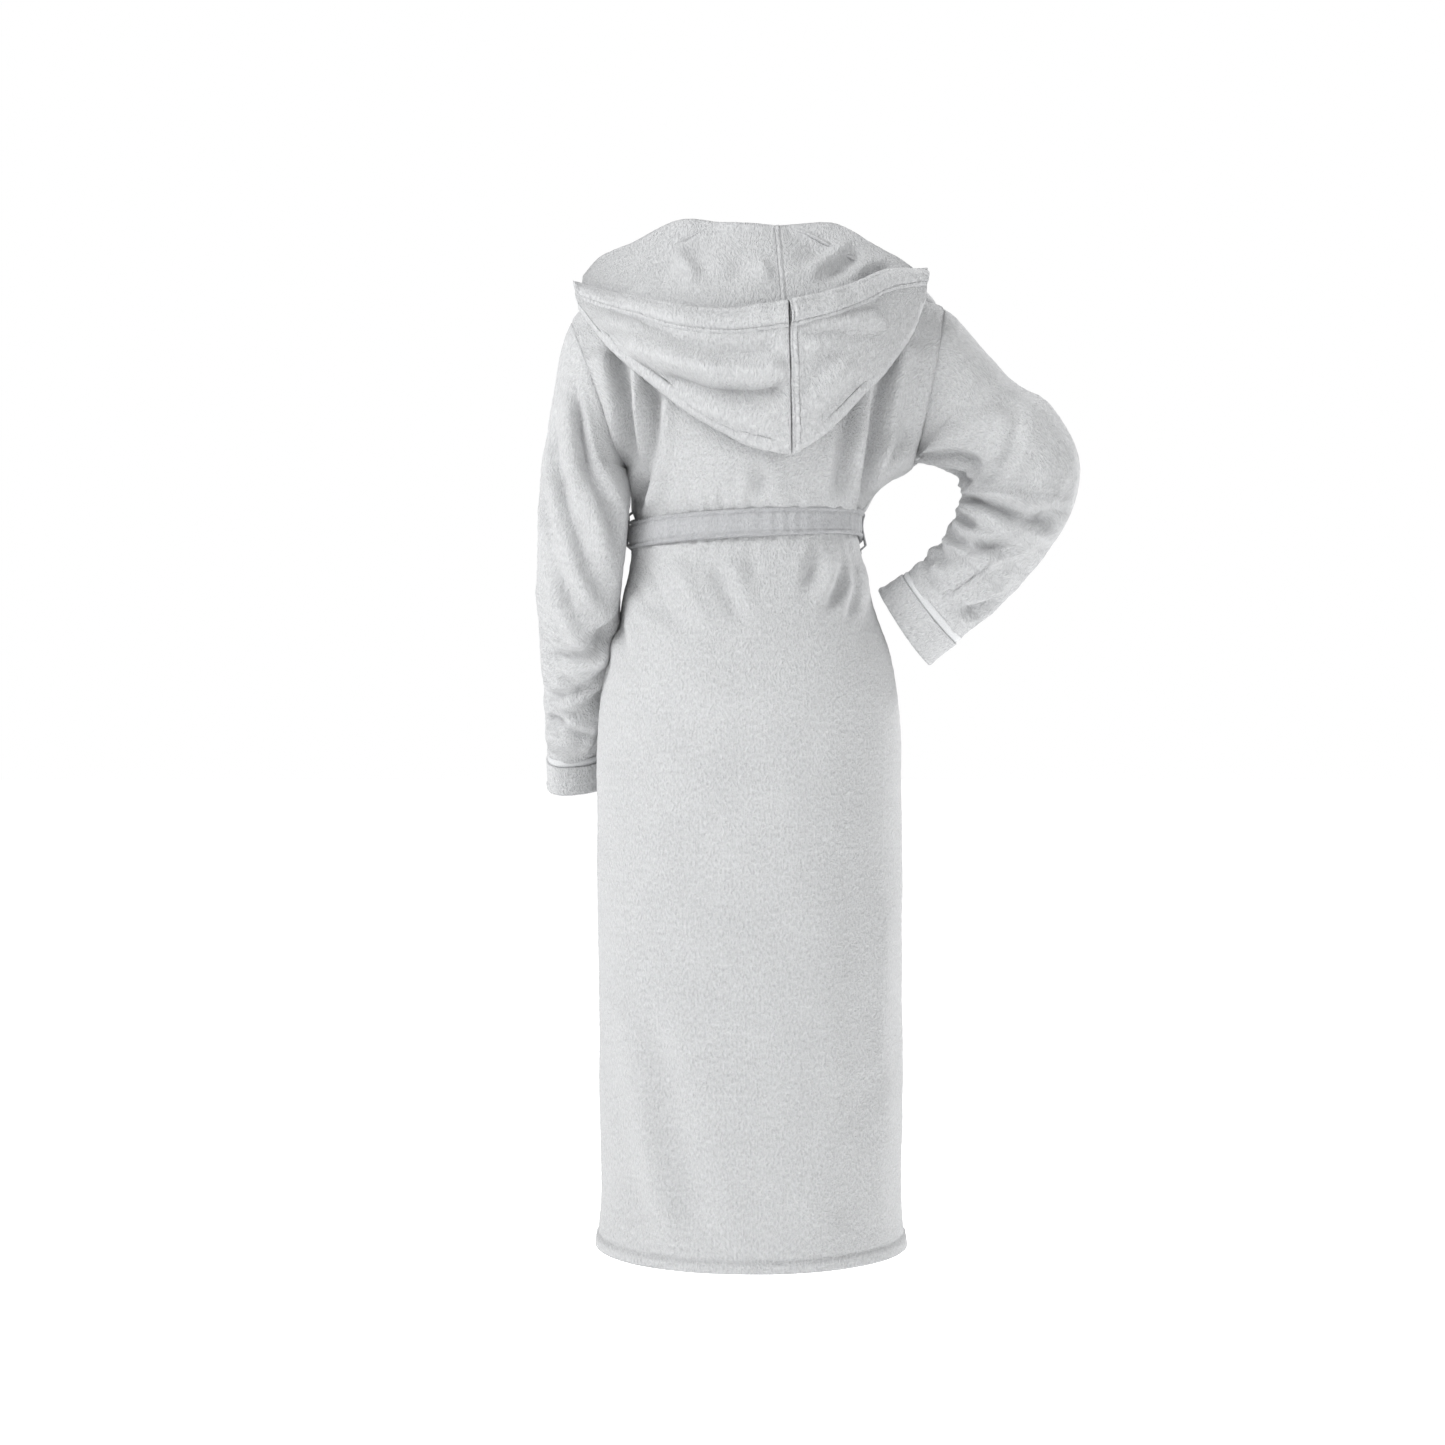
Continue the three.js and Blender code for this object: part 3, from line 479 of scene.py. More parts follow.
def body_folds(points):
    """How far folds push the body's face out, from its place on the body: x across, z up."""
    x, y, z = np.moveaxis(points, -1, 0)
    behind = step(y, -0.02, 0.03)
    out = 0.0020 * drift(x + 0.6 * y, z * 0.6, 0.23, 1.0) + 0.0012 * drift(x, z, 0.11, 4.0)
    # pleats drawn in under the belt: valleys that lean towards the middle of the back
    skirt = 0
    for line, width, depth in (
        ([(0.133, -0.405), (0.112, -0.450), (0.082, -0.500)], 0.0085, -0.0042),
        ([(0.147, -0.420), (0.128, -0.455), (0.100, -0.492)], 0.0075, -0.0036),
        ([(0.052, -0.405), (0.034, -0.440), (0.008, -0.492)], 0.0095, -0.0044),
        ([(-0.001, -0.398), (-0.006, -0.440)], 0.0090, -0.0026),
        ([(-0.080, -0.386), (-0.072, -0.420), (-0.062, -0.455)], 0.0090, -0.0042),
        ([(-0.118, -0.398), (-0.106, -0.440), (-0.086, -0.475)], 0.0080, -0.0050),
        ([(-0.128, -0.395), (-0.126, -0.440), (-0.112, -0.490)], 0.0060, -0.0045),
        ([(0.160, -0.450), (0.163, -0.485), (0.150, -0.530)], 0.0080, -0.0045),
        ([(0.098, -0.400), (0.070, -0.452), (0.046, -0.500)], 0.0110, 0.0030),
        ([(-0.100, -0.392), (-0.090, -0.440), (-0.074, -0.470)], 0.0090, 0.0030),
        ([(0.024, -0.400), (0.016, -0.450)], 0.0120, 0.0022),
        # long slanting drag lines low on the skirt
        ([(0.120, -0.96), (0.085, -1.10), (0.060, -1.22)], 0.020, -0.0035),
        ([(0.150, -0.93), (0.128, -1.07), (0.100, -1.21)], 0.016, 0.0035),
        ([(-0.150, -1.00), (-0.120, -1.12), (-0.105, -1.21)], 0.018, -0.0030),
        ([(-0.165, -0.80), (-0.150, -0.98), (-0.150, -1.10)], 0.018, 0.0030),
        ([(0.10, -0.62), (0.0, -0.645), (-0.10, -0.63)], 0.030, -0.0025),
    ):
        skirt = skirt + bump_line(x, z, line, width, depth, tail=0.035)
    # the back above the belt: blousing, and creases that run up to the arms
    upper = 0
    for line, width, depth in (
        ([(0.166, -0.140), (0.148, -0.215), (0.139, -0.300), (0.142, -0.352)], 0.010, -0.0140),
        ([(0.116, -0.190), (0.122, -0.280), (0.136, -0.348)], 0.009, -0.0110),
        ([(0.140, -0.170), (0.132, -0.260), (0.138, -0.340)], 0.010, 0.0060),
        ([(-0.172, -0.130), (-0.150, -0.232), (-0.130, -0.348)], 0.009, -0.0120),
        ([(-0.142, -0.170), (-0.128, -0.250), (-0.118, -0.345)], 0.010, 0.0060),
        ([(-0.118, -0.215), (-0.108, -0.290), (-0.104, -0.345)], 0.008, -0.0060),
        ([(-0.196, -0.285), (-0.168, -0.310), (-0.138, -0.350)], 0.006, -0.0052),
        ([(-0.198, -0.235), (-0.172, -0.280), (-0.138, -0.346)], 0.006, -0.0056),
        ([(-0.196, -0.260), (-0.170, -0.294), (-0.138, -0.348)], 0.006, 0.0006),
        ([(-0.004, -0.288), (-0.012, -0.315), (-0.006, -0.345)], 0.009, -0.0050),
        ([(-0.086, -0.320), (-0.082, -0.348)], 0.007, -0.0050),
        ([(0.030, -0.325), (0.036, -0.348)], 0.009, -0.0030),
    ):
        upper = upper + bump_line(x, z, line, width, depth, tail=0.030)
    blouse = 0.0038 * bell(z, -0.337, 0.011) * (1 + 0.35 * drift(x, z * 0, 0.16, 2.0))
    above = step(z, WAIST_Z - 0.010, WAIST_Z + 0.012)
    out = out + behind * ((1 - above) * SKIRT_DEPTH * skirt + above * UPPER_DEPTH * upper) + blouse
    # small gathers right at the belt, all the way round
    ring = np.arctan2(y, x)
    gathers = 0.0011 * np.sin(34 * ring + 2.2 * np.sin(5 * ring)) * bell(z, WAIST_Z, 0.045)
    return out + gathers


SKIRT_DEPTH, UPPER_DEPTH = 1.5, 1.4
HEM_TURN = 0.014  # height of the stitched turn-up
HEM_STITCH = 0.0016


def hem(z):
    """The turned-up hem stands proud, and its line of stitches is drawn in."""
    up = z - HEM_Z
    proud = 0.0016 * (1 - step(up, HEM_TURN - 0.003, HEM_TURN + 0.001))
    return proud - 0.0022 * bell(up, HEM_TURN, HEM_STITCH)


def seam_dip(points, columns_in=5, depth=0.0008, sides=(True, True)):
    """Edges of a panel turn in where they are sewn: a dip over the last few columns."""
    count = points.shape[1]
    reach = np.arange(count)
    dip = np.zeros(count)
    if sides[0]:
        dip -= depth * np.exp(-((reach / (columns_in * 0.45)) ** 2))
    if sides[1]:
        dip -= depth * np.exp(-(((count - 1 - reach) / (columns_in * 0.45)) ** 2))
    return dip[None, :]


heights = np.concatenate([
    np.arange(HEM_Z, -0.150, 0.0036), np.arange(-0.150, -0.085, 0.0020),
    np.arange(-0.085, NECK_Z, 0.0014),
])
back = back_rows(168, heights)
back = back + normals(back) * (
    body_folds(back) + hem(back[..., 2]) + tuft(back) + seam_dip(back, 4)
)[..., None]
back_piece = grid_object("back", back, fleece)
declare(back_piece, "back_panel", "robe")

# the fronts: the right one lies over the left one by one cloth and a little air
WRAP_LIFT = 0.005
LEFT_EDGE_X, RIGHT_EDGE_X = -0.026, 0.062
CROSSING_Z = -0.228
NECK_LINE = np.array([
    (-0.228, 0.0), (-0.155, 0.040), (-0.070, 0.066), (0.0, 0.077), (0.06, 0.082),
])


def front_edge(side, z):
    """Where a front ends across the body at each height: the neck line down to the
    crossing, then on over the other front to the belt, then straight down to the hem."""
    neck = through(NECK_LINE, z)[..., 0]
    if side == "right":
        wrap = np.interp(z, [WAIST_Z, -0.300, CROSSING_Z], [RIGHT_EDGE_X, 0.038, 0.0])
        return np.where(z > CROSSING_Z, -neck, wrap)
    wrap = np.interp(z, [-0.290, CROSSING_Z], [LEFT_EDGE_X, 0.0])
    return np.where(z > CROSSING_Z, neck, wrap)


def turn_at(x, z):
    """The turn on the front whose point lies at x."""
    left, right, _, _, square = np.moveaxis(through(BODY, z), -1, 0)
    share = np.clip(np.abs(x) / np.where(x > 0, left, right), 0, 0.999)
    angle = np.arccos(share ** (square / 2)) / (2 * np.pi)
    return np.where(x > 0, 1 - angle, 0.5 + angle)


def front_panel(side, columns):
    """Rows from the side seam to the front edge, with the armhole cut as on the back."""
    edge, _, hold = armhole_edge(side, heights)
    away = evened(armhole_turn(edge, heights, 2) * hold)
    start = 0.5 + away if side == "right" else 1 - away
    stop = turn_at(front_edge(side, heights), heights)
    u = np.linspace(0, 1, columns)[None, :]
    low, high = (start, stop) if side == "right" else (stop, start)
    turn = low[:, None] + (high - low)[:, None] * u
    points = body_face(turn, heights[:, None] + 0 * u)
    seam = side_line(edge, hold, 0.5 if side == "right" else 1.0, heights)
    return pull_to(points, 0 if side == "right" else -1, seam)


def front_folds(points):
    """Folds of the fronts: pleats under the belt and a slack drape between chest and belt."""
    x, _, z = np.moveaxis(points, -1, 0)
    out = 0
    for line, width, depth in (
        ([(0.085, -0.395), (0.098, -0.450), (0.108, -0.530)], 0.011, -0.0045),
        ([(0.110, -0.392), (0.128, -0.440), (0.138, -0.500)], 0.009, 0.0035),
        ([(0.030, -0.400), (0.034, -0.520), (0.040, -0.680)], 0.014, -0.0040),
        ([(-0.030, -0.400), (-0.050, -0.470), (-0.078, -0.560)], 0.012, -0.0045),
        ([(-0.075, -0.395), (-0.096, -0.455), (-0.122, -0.520)], 0.010, -0.0040),
        ([(-0.052, -0.395), (-0.075, -0.460), (-0.100, -0.550)], 0.011, 0.0035),
        ([(0.046, -0.70), (0.050, -0.95), (0.052, -1.20)], 0.026, 0.0040),
        ([(-0.030, -0.62), (-0.045, -0.90), (-0.060, -1.20)], 0.024, -0.0045),
        ([(-0.120, -0.70), (-0.125, -0.95), (-0.130, -1.20)], 0.024, 0.0040),
        ([(0.125, -0.70), (0.130, -0.95), (0.135, -1.20)], 0.022, -0.0035),
        ([(-0.140, -0.170), (-0.118, -0.250), (-0.095, -0.345)], 0.012, -0.0065),
        ([(-0.100, -0.230), (-0.085, -0.300), (-0.070, -0.345)], 0.010, 0.0045),
        ([(0.135, -0.180), (0.120, -0.260), (0.100, -0.345)], 0.012, -0.0065),
        ([(0.100, -0.240), (0.088, -0.300), (0.075, -0.345)], 0.010, 0.0045),
        ([(-0.050, -0.300), (-0.040, -0.345)], 0.008, -0.0045),
        ([(-0.196, -0.285), (-0.168, -0.310), (-0.138, -0.350)], 0.006, -0.0052),
    ):
        out = out + bump_line(x, z, line, width, depth, tail=0.035)
    return out


for side, columns, node in (("left", 96, "left_front_panel"), ("right", 108, "right_front_panel")):
    front = front_panel(side, columns)
    lift = WRAP_LIFT * step(front[..., 0], -0.064, -0.032) if side == "right" else 0
    edge_roll = 0.0012 if side == "right" else 0.0
    sides = (True, False) if side == "right" else (False, True)
    front = front + normals(front) * (
        body_folds(front) + front_folds(front) + lift + edge_roll + hem(front[..., 2])
        + tuft(front) + seam_dip(front, 4, sides=sides)
    )[..., None]
    piece = grid_object(f"{side}_front", front, fleece)
    declare(piece, node, "robe")


# ---- Sleeves, cuffs and their satin piping ----------------------------------------------
# Wide sleeves set into dropped armholes. The right elbow is bent, so its inside is
# gathered into deep folds. Each ends in a turned-up cuff with a satin piping at its edge.
SLEEVES = {
    # middle, half-width and half-depth, then the way on and the way across, in mm
    "left": [
        ((209, 24, -330), 51, 69, (0.06, 0.00, -1), (1, 0, 0)),
        ((213, 27, -395), 49, 65, (0.04, -0.30, -0.95), (1, 0, 0)),
        ((218, -12, -488), 45, 61, (0.03, -0.58, -0.81), (1, -0.15, 0)),
        ((217, -62, -560), 40, 59, (-0.01, -0.52, -0.85), (0.9, -0.4, 0)),
        ((216, -92, -620), 38, 57, (-0.02, -0.38, -0.92), (0.86, -0.5, 0)),
        ((215, -113, -677), 38, 57, (-0.02, -0.34, -0.94), (0.86, -0.5, 0)),
    ],
    "right": [
        ((-315, 34, -261), 69, 68, (-0.57, 0.04, -0.82), (-0.82, 0, 0.57)),
        ((-329, 38, -301), 74, 66, (-0.20, 0.02, -0.98), (-0.98, 0, 0.20)),
        ((-324, 38, -337), 68, 64, (0.10, 0.00, -1), (-1, 0, -0.08)),
        ((-304, 35, -375), 59, 60, (0.43, -0.05, -0.90), (-0.90, 0, -0.43)),
        ((-268, 28, -422), 53, 56, (0.64, -0.12, -0.77), (-0.77, 0, -0.64)),
        ((-230, 18, -455), 52, 50, (0.77, -0.18, -0.64), (-0.64, 0, -0.77)),
        ((-190, 8, -485), 53, 46, (0.83, -0.20, -0.56), (-0.557, 0, -0.83)),
    ],
}
CUFF_LENGTH, PIPING = 0.048, 0.010
# the fan's rings: (angle above level, length across), then the last half-depth
FAN = {
    "left": ([(0, 0.104), (28, 0.111), (54, 0.149), (69.0, 0.196)], 0.0745),
    "right": ([(44, 0.152), (60, 0.163), (78.9, 0.192)], 0.0700),
}


def fan(side, rows):
    """The sleeve's first rings: ovals that turn about the underarm point, from the armhole's
    own plane round to the sleeve's first section."""
    lean, height, deep = ARMHOLE[side]
    sign = 1 if side == "left" else -1
    table, last_deep = FAN[side]
    rings = []
    for f, degrees in zip(np.linspace(0, 1, rows), np.linspace(lean, table[0][0], rows)):
        a = math.radians(degrees)
        long = float(through(table, np.array(degrees))[0]) / 2
        across = np.array([sign * math.cos(a), 0, math.sin(a)])
        along = np.array([sign * math.sin(a), 0, -math.cos(a)])
        middle = UNDERARM[side] + across * long + np.array([0, 0.010 * f, 0])
        rings.append((middle, across, along, long, deep + (last_deep - deep) * f))
    return rings


def sleeve_rings(side, rows):
    """Rings of a sleeve, evenly spaced from armhole to cuff end: middle, across, depth,
    half-width and half-depth at each, with the distance run down the sleeve."""
    stations = []
    for middle, across, along, wide, deep in fan(side, 9)[:-1]:
        stations.append((middle, across, along, wide, deep))
    for middle, wide, deep, along, across in SLEEVES[side]:
        stations.append((np.array(middle) * MM, np.array(across, float), np.array(along, float),
                         wide * MM, deep * MM))
    middles = np.array([s[0] for s in stations])
    run = np.concatenate([[0], np.cumsum(np.linalg.norm(np.diff(middles, axis=0), axis=1))])
    table = np.array([[r, *s[0], *s[1], *s[2], s[3], s[4]] for r, s in zip(run, stations)])
    at = np.linspace(0, run[-1], rows)
    values = through(table, at)
    middle, across, along = values[:, 0:3], values[:, 3:6], values[:, 6:9]
    along /= np.linalg.norm(along, axis=1, keepdims=True)
    across -= along * np.sum(across * along, axis=1, keepdims=True)
    across /= np.linalg.norm(across, axis=1, keepdims=True)
    deep = np.cross(along, across)
    return at, middle, across, deep, values[:, 9], values[:, 10]


def tube(middle, across, deep, wide, depth, turn, swell=0.0):
    """Points round each ring: the middle plus so much across and so much deep."""
    c, s = np.cos(2 * np.pi * turn)[None, :, None], np.sin(2 * np.pi * turn)[None, :, None]
    swell = np.asarray(swell)
    swell = swell if swell.ndim == 2 else swell + np.zeros((len(middle), len(turn)))
    return (
        middle[:, None] + across[:, None] * c * (wide[:, None, None] + swell[..., None])
        + deep[:, None] * s * (depth[:, None, None] + swell[..., None])
    )


def ring_bump(p, q, p0, q0, slope, width, height, half):
    """A fold part of the way round a sleeve: centred on turn q0, its distance down the
    sleeve is p0 there and changes with the turn by slope; it fades out over half a turn."""
    away = (q - q0 + 0.5) % 1 - 0.5
    fade = np.clip(1 - np.abs(away) / half, 0, 1)
    fade = fade * fade * (3 - 2 * fade)
    return height * fade * crease(np.abs(p - p0 - slope * away), width)


# folds: distance down the sleeve, turn (0 = outside, 1/2 = inside of the arm), slope,
# width, height, how far round. The inside of the bent elbow has deep stacked folds.
SLEEVE_FOLDS = {
    "left": [
        (0.250, 0.30, 0.30, 0.014, -0.0070, 0.26), (0.285, 0.32, 0.32, 0.012, 0.0040, 0.26),
        (0.330, 0.28, 0.25, 0.016, -0.0060, 0.24), (0.370, 0.36, -0.20, 0.014, -0.0055, 0.26),
        (0.410, 0.25, 0.22, 0.013, -0.0055, 0.28), (0.445, 0.60, -0.20, 0.014, -0.0050, 0.30),
        (0.480, 0.25, 0.16, 0.012, -0.0045, 0.30), (0.515, 0.45, -0.18, 0.012, -0.0050, 0.30),
        (0.550, 0.20, 0.14, 0.012, -0.0040, 0.30), (0.585, 0.40, 0.10, 0.011, -0.0040, 0.30),
        (0.400, 0.75, 0.25, 0.013, -0.0060, 0.30), (0.340, 0.80, -0.25, 0.014, -0.0050, 0.30),
        (0.470, 0.72, -0.20, 0.012, -0.0055, 0.30), (0.545, 0.75, 0.20, 0.012, -0.0045, 0.30),
    ],
    "right": [
        (0.160, 0.42, 0.16, 0.010, -0.0030, 0.20), (0.192, 0.44, 0.02, 0.010, -0.0040, 0.22),
        (0.226, 0.44, -0.10, 0.010, -0.0040, 0.22), (0.262, 0.44, -0.16, 0.010, -0.0035, 0.22),
        (0.300, 0.46, -0.20, 0.011, -0.0070, 0.24),
        (0.335, 0.50, 0.22, 0.012, -0.0060, 0.26), (0.370, 0.50, -0.20, 0.012, -0.0060, 0.26),
        (0.405, 0.50, 0.18, 0.011, -0.0055, 0.26), (0.440, 0.52, -0.14, 0.011, -0.0050, 0.26),
        (0.345, 0.20, 0.24, 0.010, -0.0050, 0.22), (0.380, 0.22, 0.22, 0.010, -0.0055, 0.22),
        (0.412, 0.24, 0.20, 0.009, -0.0045, 0.22), (0.250, 0.24, 0.45, 0.010, -0.0050, 0.20),
        (0.275, 0.22, 0.42, 0.010, 0.0035, 0.20), (0.150, 0.30, 0.45, 0.014, -0.0060, 0.20),
        (0.245, 0.78, 0.40, 0.012, -0.0055, 0.22), (0.375, 0.78, -0.22, 0.011, -0.0050, 0.24),
    ],
}


# folds across the back of each sleeve: lines as (distance down, distance round from the
# middle of its back towards the body), then width and height
FOLD_DEPTH = {"left": 1.15, "right": 1.5}
ARM_REST = 0.018  # how far the left sleeve's back rests in towards the body
SLEEVE_LINES = {
    "left": [
        ([(0.015, -0.030), (0.100, 0.015), (0.180, 0.065)], 0.008, -0.0085),
        ([(0.035, -0.045), (0.125, 0.000), (0.205, 0.055)], 0.011, 0.0050),
        ([(0.060, -0.065), (0.150, -0.012), (0.240, 0.052)], 0.009, -0.0070),
        ([(0.110, -0.080), (0.190, -0.035), (0.260, 0.020)], 0.010, -0.0035),
        ([(0.255, 0.075), (0.290, 0.025), (0.305, -0.035)], 0.008, -0.0075),
        ([(0.275, 0.070), (0.315, 0.020), (0.330, -0.030)], 0.010, 0.0045),
        ([(0.305, 0.080), (0.350, 0.025), (0.370, -0.045)], 0.008, -0.0065),
        ([(0.430, 0.070), (0.400, 0.010), (0.415, -0.055)], 0.008, -0.0055),
        ([(0.500, 0.060), (0.465, 0.005), (0.475, -0.045)], 0.008, -0.0050),
        ([(0.350, 0.085), (0.420, 0.075), (0.490, 0.065)], 0.007, -0.0060),
    ],
    "right": [
        ([(0.200, 0.105), (0.212, 0.055), (0.224, 0.000), (0.214, -0.065)], 0.008, -0.0100),
        ([(0.184, 0.090), (0.196, 0.040), (0.206, -0.020)], 0.010, 0.0055),
        ([(0.238, 0.105), (0.250, 0.065), (0.256, 0.030)], 0.007, -0.0100),
        ([(0.272, 0.100), (0.282, 0.060), (0.272, 0.020), (0.250, -0.030)], 0.007, -0.0060),
        ([(0.315, 0.090), (0.345, 0.050), (0.340, 0.010)], 0.008, -0.0065),
        ([(0.355, 0.080), (0.380, 0.040), (0.375, -0.010)], 0.008, -0.0055),
        ([(0.290, -0.080), (0.340, -0.040), (0.370, 0.000)], 0.009, -0.0055),
        ([(0.245, -0.012), (0.330, 0.000), (0.400, 0.020), (0.440, 0.050)], 0.0022, -0.0018),
        ([(0.020, 0.060), (0.060, 0.000), (0.100, -0.050)], 0.014, -0.0030),
        ([(0.030, 0.095), (0.090, 0.065), (0.160, 0.055)], 0.009, -0.0065),
        ([(0.070, 0.115), (0.130, 0.088), (0.180, 0.080)], 0.008, -0.0065),
    ],
}


def sleeve(side, rows, columns):
    """The whole sleeve's face from armhole to cuff end, folds included."""
    at, middle, across, deep, wide, depth = sleeve_rings(side, rows)
    sign = 1 if side == "left" else -1
    # behind is a quarter turn on, on both sides
    deep = deep * np.where(deep[:, 1:2] > 0, 1, -1)
    turn = np.linspace(0, 1, columns + 1)[:-1]
    p, q = at[:, None] + 0 * turn[None, :], turn[None, :] + 0 * at[:, None]
    swell = sum(ring_bump(p, q, *fold) for fold in SLEEVE_FOLDS[side])
    round_back = (q - 0.25) * 0.42
    lines = sum(bump_line(p, round_back, *fold) for fold in SLEEVE_LINES[side])
    swell = swell + FOLD_DEPTH[side] * lines
    swell = swell + 0.0022 * drift(q * 0.9, p, 0.10, 3.0 + sign) + 0.0005 * drift(q, p, 0.03, 8.0)
    if side == "left":
        # the cloth behind the arm rests towards the body
        rest = np.clip(1 - np.abs(q - 0.38) / 0.20, 0, 1)
        upper_arm = step(p, 0.08, 0.14) * (1 - step(p, 0.42, 0.54))
        swell = swell + ARM_REST * rest * rest * (3 - 2 * rest) * upper_arm
    # folds die out towards the armhole seam and the stiff cuff
    cuff_head = at[-1] - CUFF_LENGTH
    swell = swell * step(p, 0.0, 0.05) * (1 - step(p, cuff_head - 0.030, cuff_head))
    return at, turn, middle, across, deep, wide, depth, swell


def pull_in(ring, amount):
    """A step from each point of a ring towards its middle."""
    inward = ring - ring.mean(axis=0)
    return amount * inward / np.linalg.norm(inward, axis=1, keepdims=True)


SLEEVE_COLUMNS = 132
SEAM_TUCK = 0.003  # how far a sleeve's raw edge runs on under the panel

for side in ("left", "right"):
    rows = 270 if side == "left" else 250
    at, turn, middle, across, deep, wide, depth, swell = sleeve(side, rows, SLEEVE_COLUMNS)
    flip = -1 if side == "left" else 1
    end = at[-1] - CUFF_LENGTH + 0.004
    body = at <= end
    surface = tube(middle, across, deep, wide, depth, turn, swell)
    surface = surface[body]
    # the armhole seam: the sleeve rolls in to the stitches, with a soft head above them
    roll = -0.0005 * bell(at[body], 0, 0.002) + 0.0006 * bell(at[body], 0.008, 0.005)
    pull = normals(surface, closed=True) * (flip * (roll[:, None] + tuft(surface)))[..., None]
    surface = surface + pull
    # its raw edge is tucked under the panel
    _, _, down_sleeve, _, _ = fan(side, 3)[0]
    tucked = surface[0] - down_sleeve * SEAM_TUCK - pull_in(surface[0], SEAM_TUCK)
    surface = np.concatenate([tucked[None], surface])
    piece = grid_object(f"{side}_sleeve", surface, fleece, closed=True, out=flip)
    declare(piece, f"{side}_sleeve", None)
    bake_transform(piece)

    # the cuff: a second layer turned back over the sleeve, ending in the satin piping
    cuff_at = np.linspace(at[-1] - CUFF_LENGTH, at[-1], 30)
    table = np.column_stack([at, middle, across, deep, wide, depth])
    v = through(table, cuff_at)
    proud = 0.0022 + 0.0016 * np.exp(-(((cuff_at - cuff_at[-1] + 0.003) / 0.004) ** 2))
    wave = 0.0016 * drift(turn[None, :] * 0.6, cuff_at[:, None] * 0 + 0.3, 0.11, 6.0)
    fold_over = proud[:, None] + wave
    cuff = tube(v[:, 0:3], v[:, 3:6], v[:, 6:9], v[:, 9], v[:, 10], turn, fold_over)
    band = cuff_at - cuff_at[0]
    cuff_rows = band >= PIPING - 0.001
    piping_rows = band <= PIPING + 0.001
    cuff_face = cuff[cuff_rows]
    cuff_face = cuff_face + (normals(cuff_face, closed=True) * (flip * tuft(cuff_face))[..., None])
    piece = grid_object(f"{side}_cuff", cuff_face, fleece, closed=True, out=flip, thick=0.005)
    declare(piece, f"{side}_cuff", f"{side}_arm")
    piping = tube(v[:, 0:3], v[:, 3:6], v[:, 6:9], v[:, 9], v[:, 10], turn,
                  wave - 0.0002 + 0.0014 * np.sin(np.pi * np.clip(band / PIPING, 0, 1))[:, None])
    piece = grid_object(f"{side}_piping", piping[piping_rows], satin, closed=True, out=flip,
                        thick=0.0012)
    declare(piece, f"{side}_cuff_piping", f"{side}_arm")


# ---- Shawl collar -----------------------------------------------------------------------
# One rolled collar in two halves, joined under the hood. On the shoulders it stands thick
# and soft; down the front it lies flat along the neck edge to the belt.
# Each edge starts behind the neck as (turn past the side, height) and goes on down the
# front as (distance from the middle, height).
COLLAR_BEHIND = {"inner": [(0.164, -0.006), (0.080, -0.006), (0.0, -0.006)],
                 "outer": [(0.104, -0.078), (0.050, -0.088), (0.0, -0.093)]}
COLLAR_FRONT = {
    "left": {"inner": [(0.0745, -0.020), (0.066, -0.070), (0.041, -0.155), (0.004, -0.222)],
             "outer": [(0.196, -0.096), (0.174, -0.118), (0.138, -0.160), (0.084, -0.222),
                       (0.034, -0.263)]},
    "right": {"inner": [(0.0745, -0.020), (0.066, -0.070), (0.041, -0.155), (0.001, -0.228),
                        (-0.037, -0.300), (-0.048, -0.336)],
              "outer": [(0.196, -0.096), (0.174, -0.118), (0.138, -0.160), (0.084, -0.224),
                        (0.026, -0.298), (-0.012, -0.336)]},
}


def along_line(line, share):
    """Points at equal shares of the length of a line through some places."""
    line = np.asarray(line, float)
    run = np.concatenate([[0], np.cumsum(np.linalg.norm(np.diff(line, axis=0), axis=1))])
    return through(np.column_stack([run / run[-1], line]), share)


def collar_edge(side, which, shares):
    """An edge of the collar as (turn, height) on the body, from behind the neck round the
    shoulder and down the front."""
    sign = 1 if side == "left" else -1
    behind = [(t if side == "left" else 0.5 - t, z) for t, z in COLLAR_BEHIND[which]]
    front = []
    for x, z in COLLAR_FRONT[side][which]:
        turn = float(turn_at(np.array(sign * x), np.array(z)))
        front.append((turn - 1 if side == "left" else turn, z))
    # a turn is about 0.9 m of cloth
    line = np.array(behind + front) * (0.9, 1)
    return along_line(line, shares) / (0.9, 1)


def collar(side, rows, columns):
    """From the neck edge out over the shoulder and chest: laid on the body, it swells to a
    soft roll that is thick on the shoulder and thin down the front."""
    shares = np.linspace(0, 1, rows)
    inner, outer = (collar_edge(side, which, shares) for which in ("inner", "outer"))
    v = np.linspace(0, 1, columns)[None, :, None]
    place = inner[:, None] + (outer - inner)[:, None] * v
    points = body_face(place[..., 0], place[..., 1])
    z, v = points[..., 2], v[..., 0]
    stand = 0.0065 + 0.0105 * step(z, -0.150, -0.060)
    roll = (1 - np.abs(2 * v - 1) ** 2.8) ** 0.6
    uneven = 0.0014 * drift(v * 0.25, shares[:, None] * 0.5, 0.13, 5.0)
    lift = 0.0042 + stand * roll + uneven * roll
    if side == "right":
        lift = lift + WRAP_LIFT * step(points[..., 0], -0.064, -0.032) * (z < -0.15)
    return points, lift


for side in ("left", "right"):
    laid, lift = collar(side, 190, 34)
    flip = -1 if side == "left" else 1
    raised = laid + normals(laid) * (lift * flip)[..., None]
    raised = raised + normals(raised) * (flip * tuft(raised))[..., None]
    piece = grid_object(f"{side}_collar", raised, fleece, out=flip, thick=0.0036)
    declare(piece, f"{side}_collar", "robe")


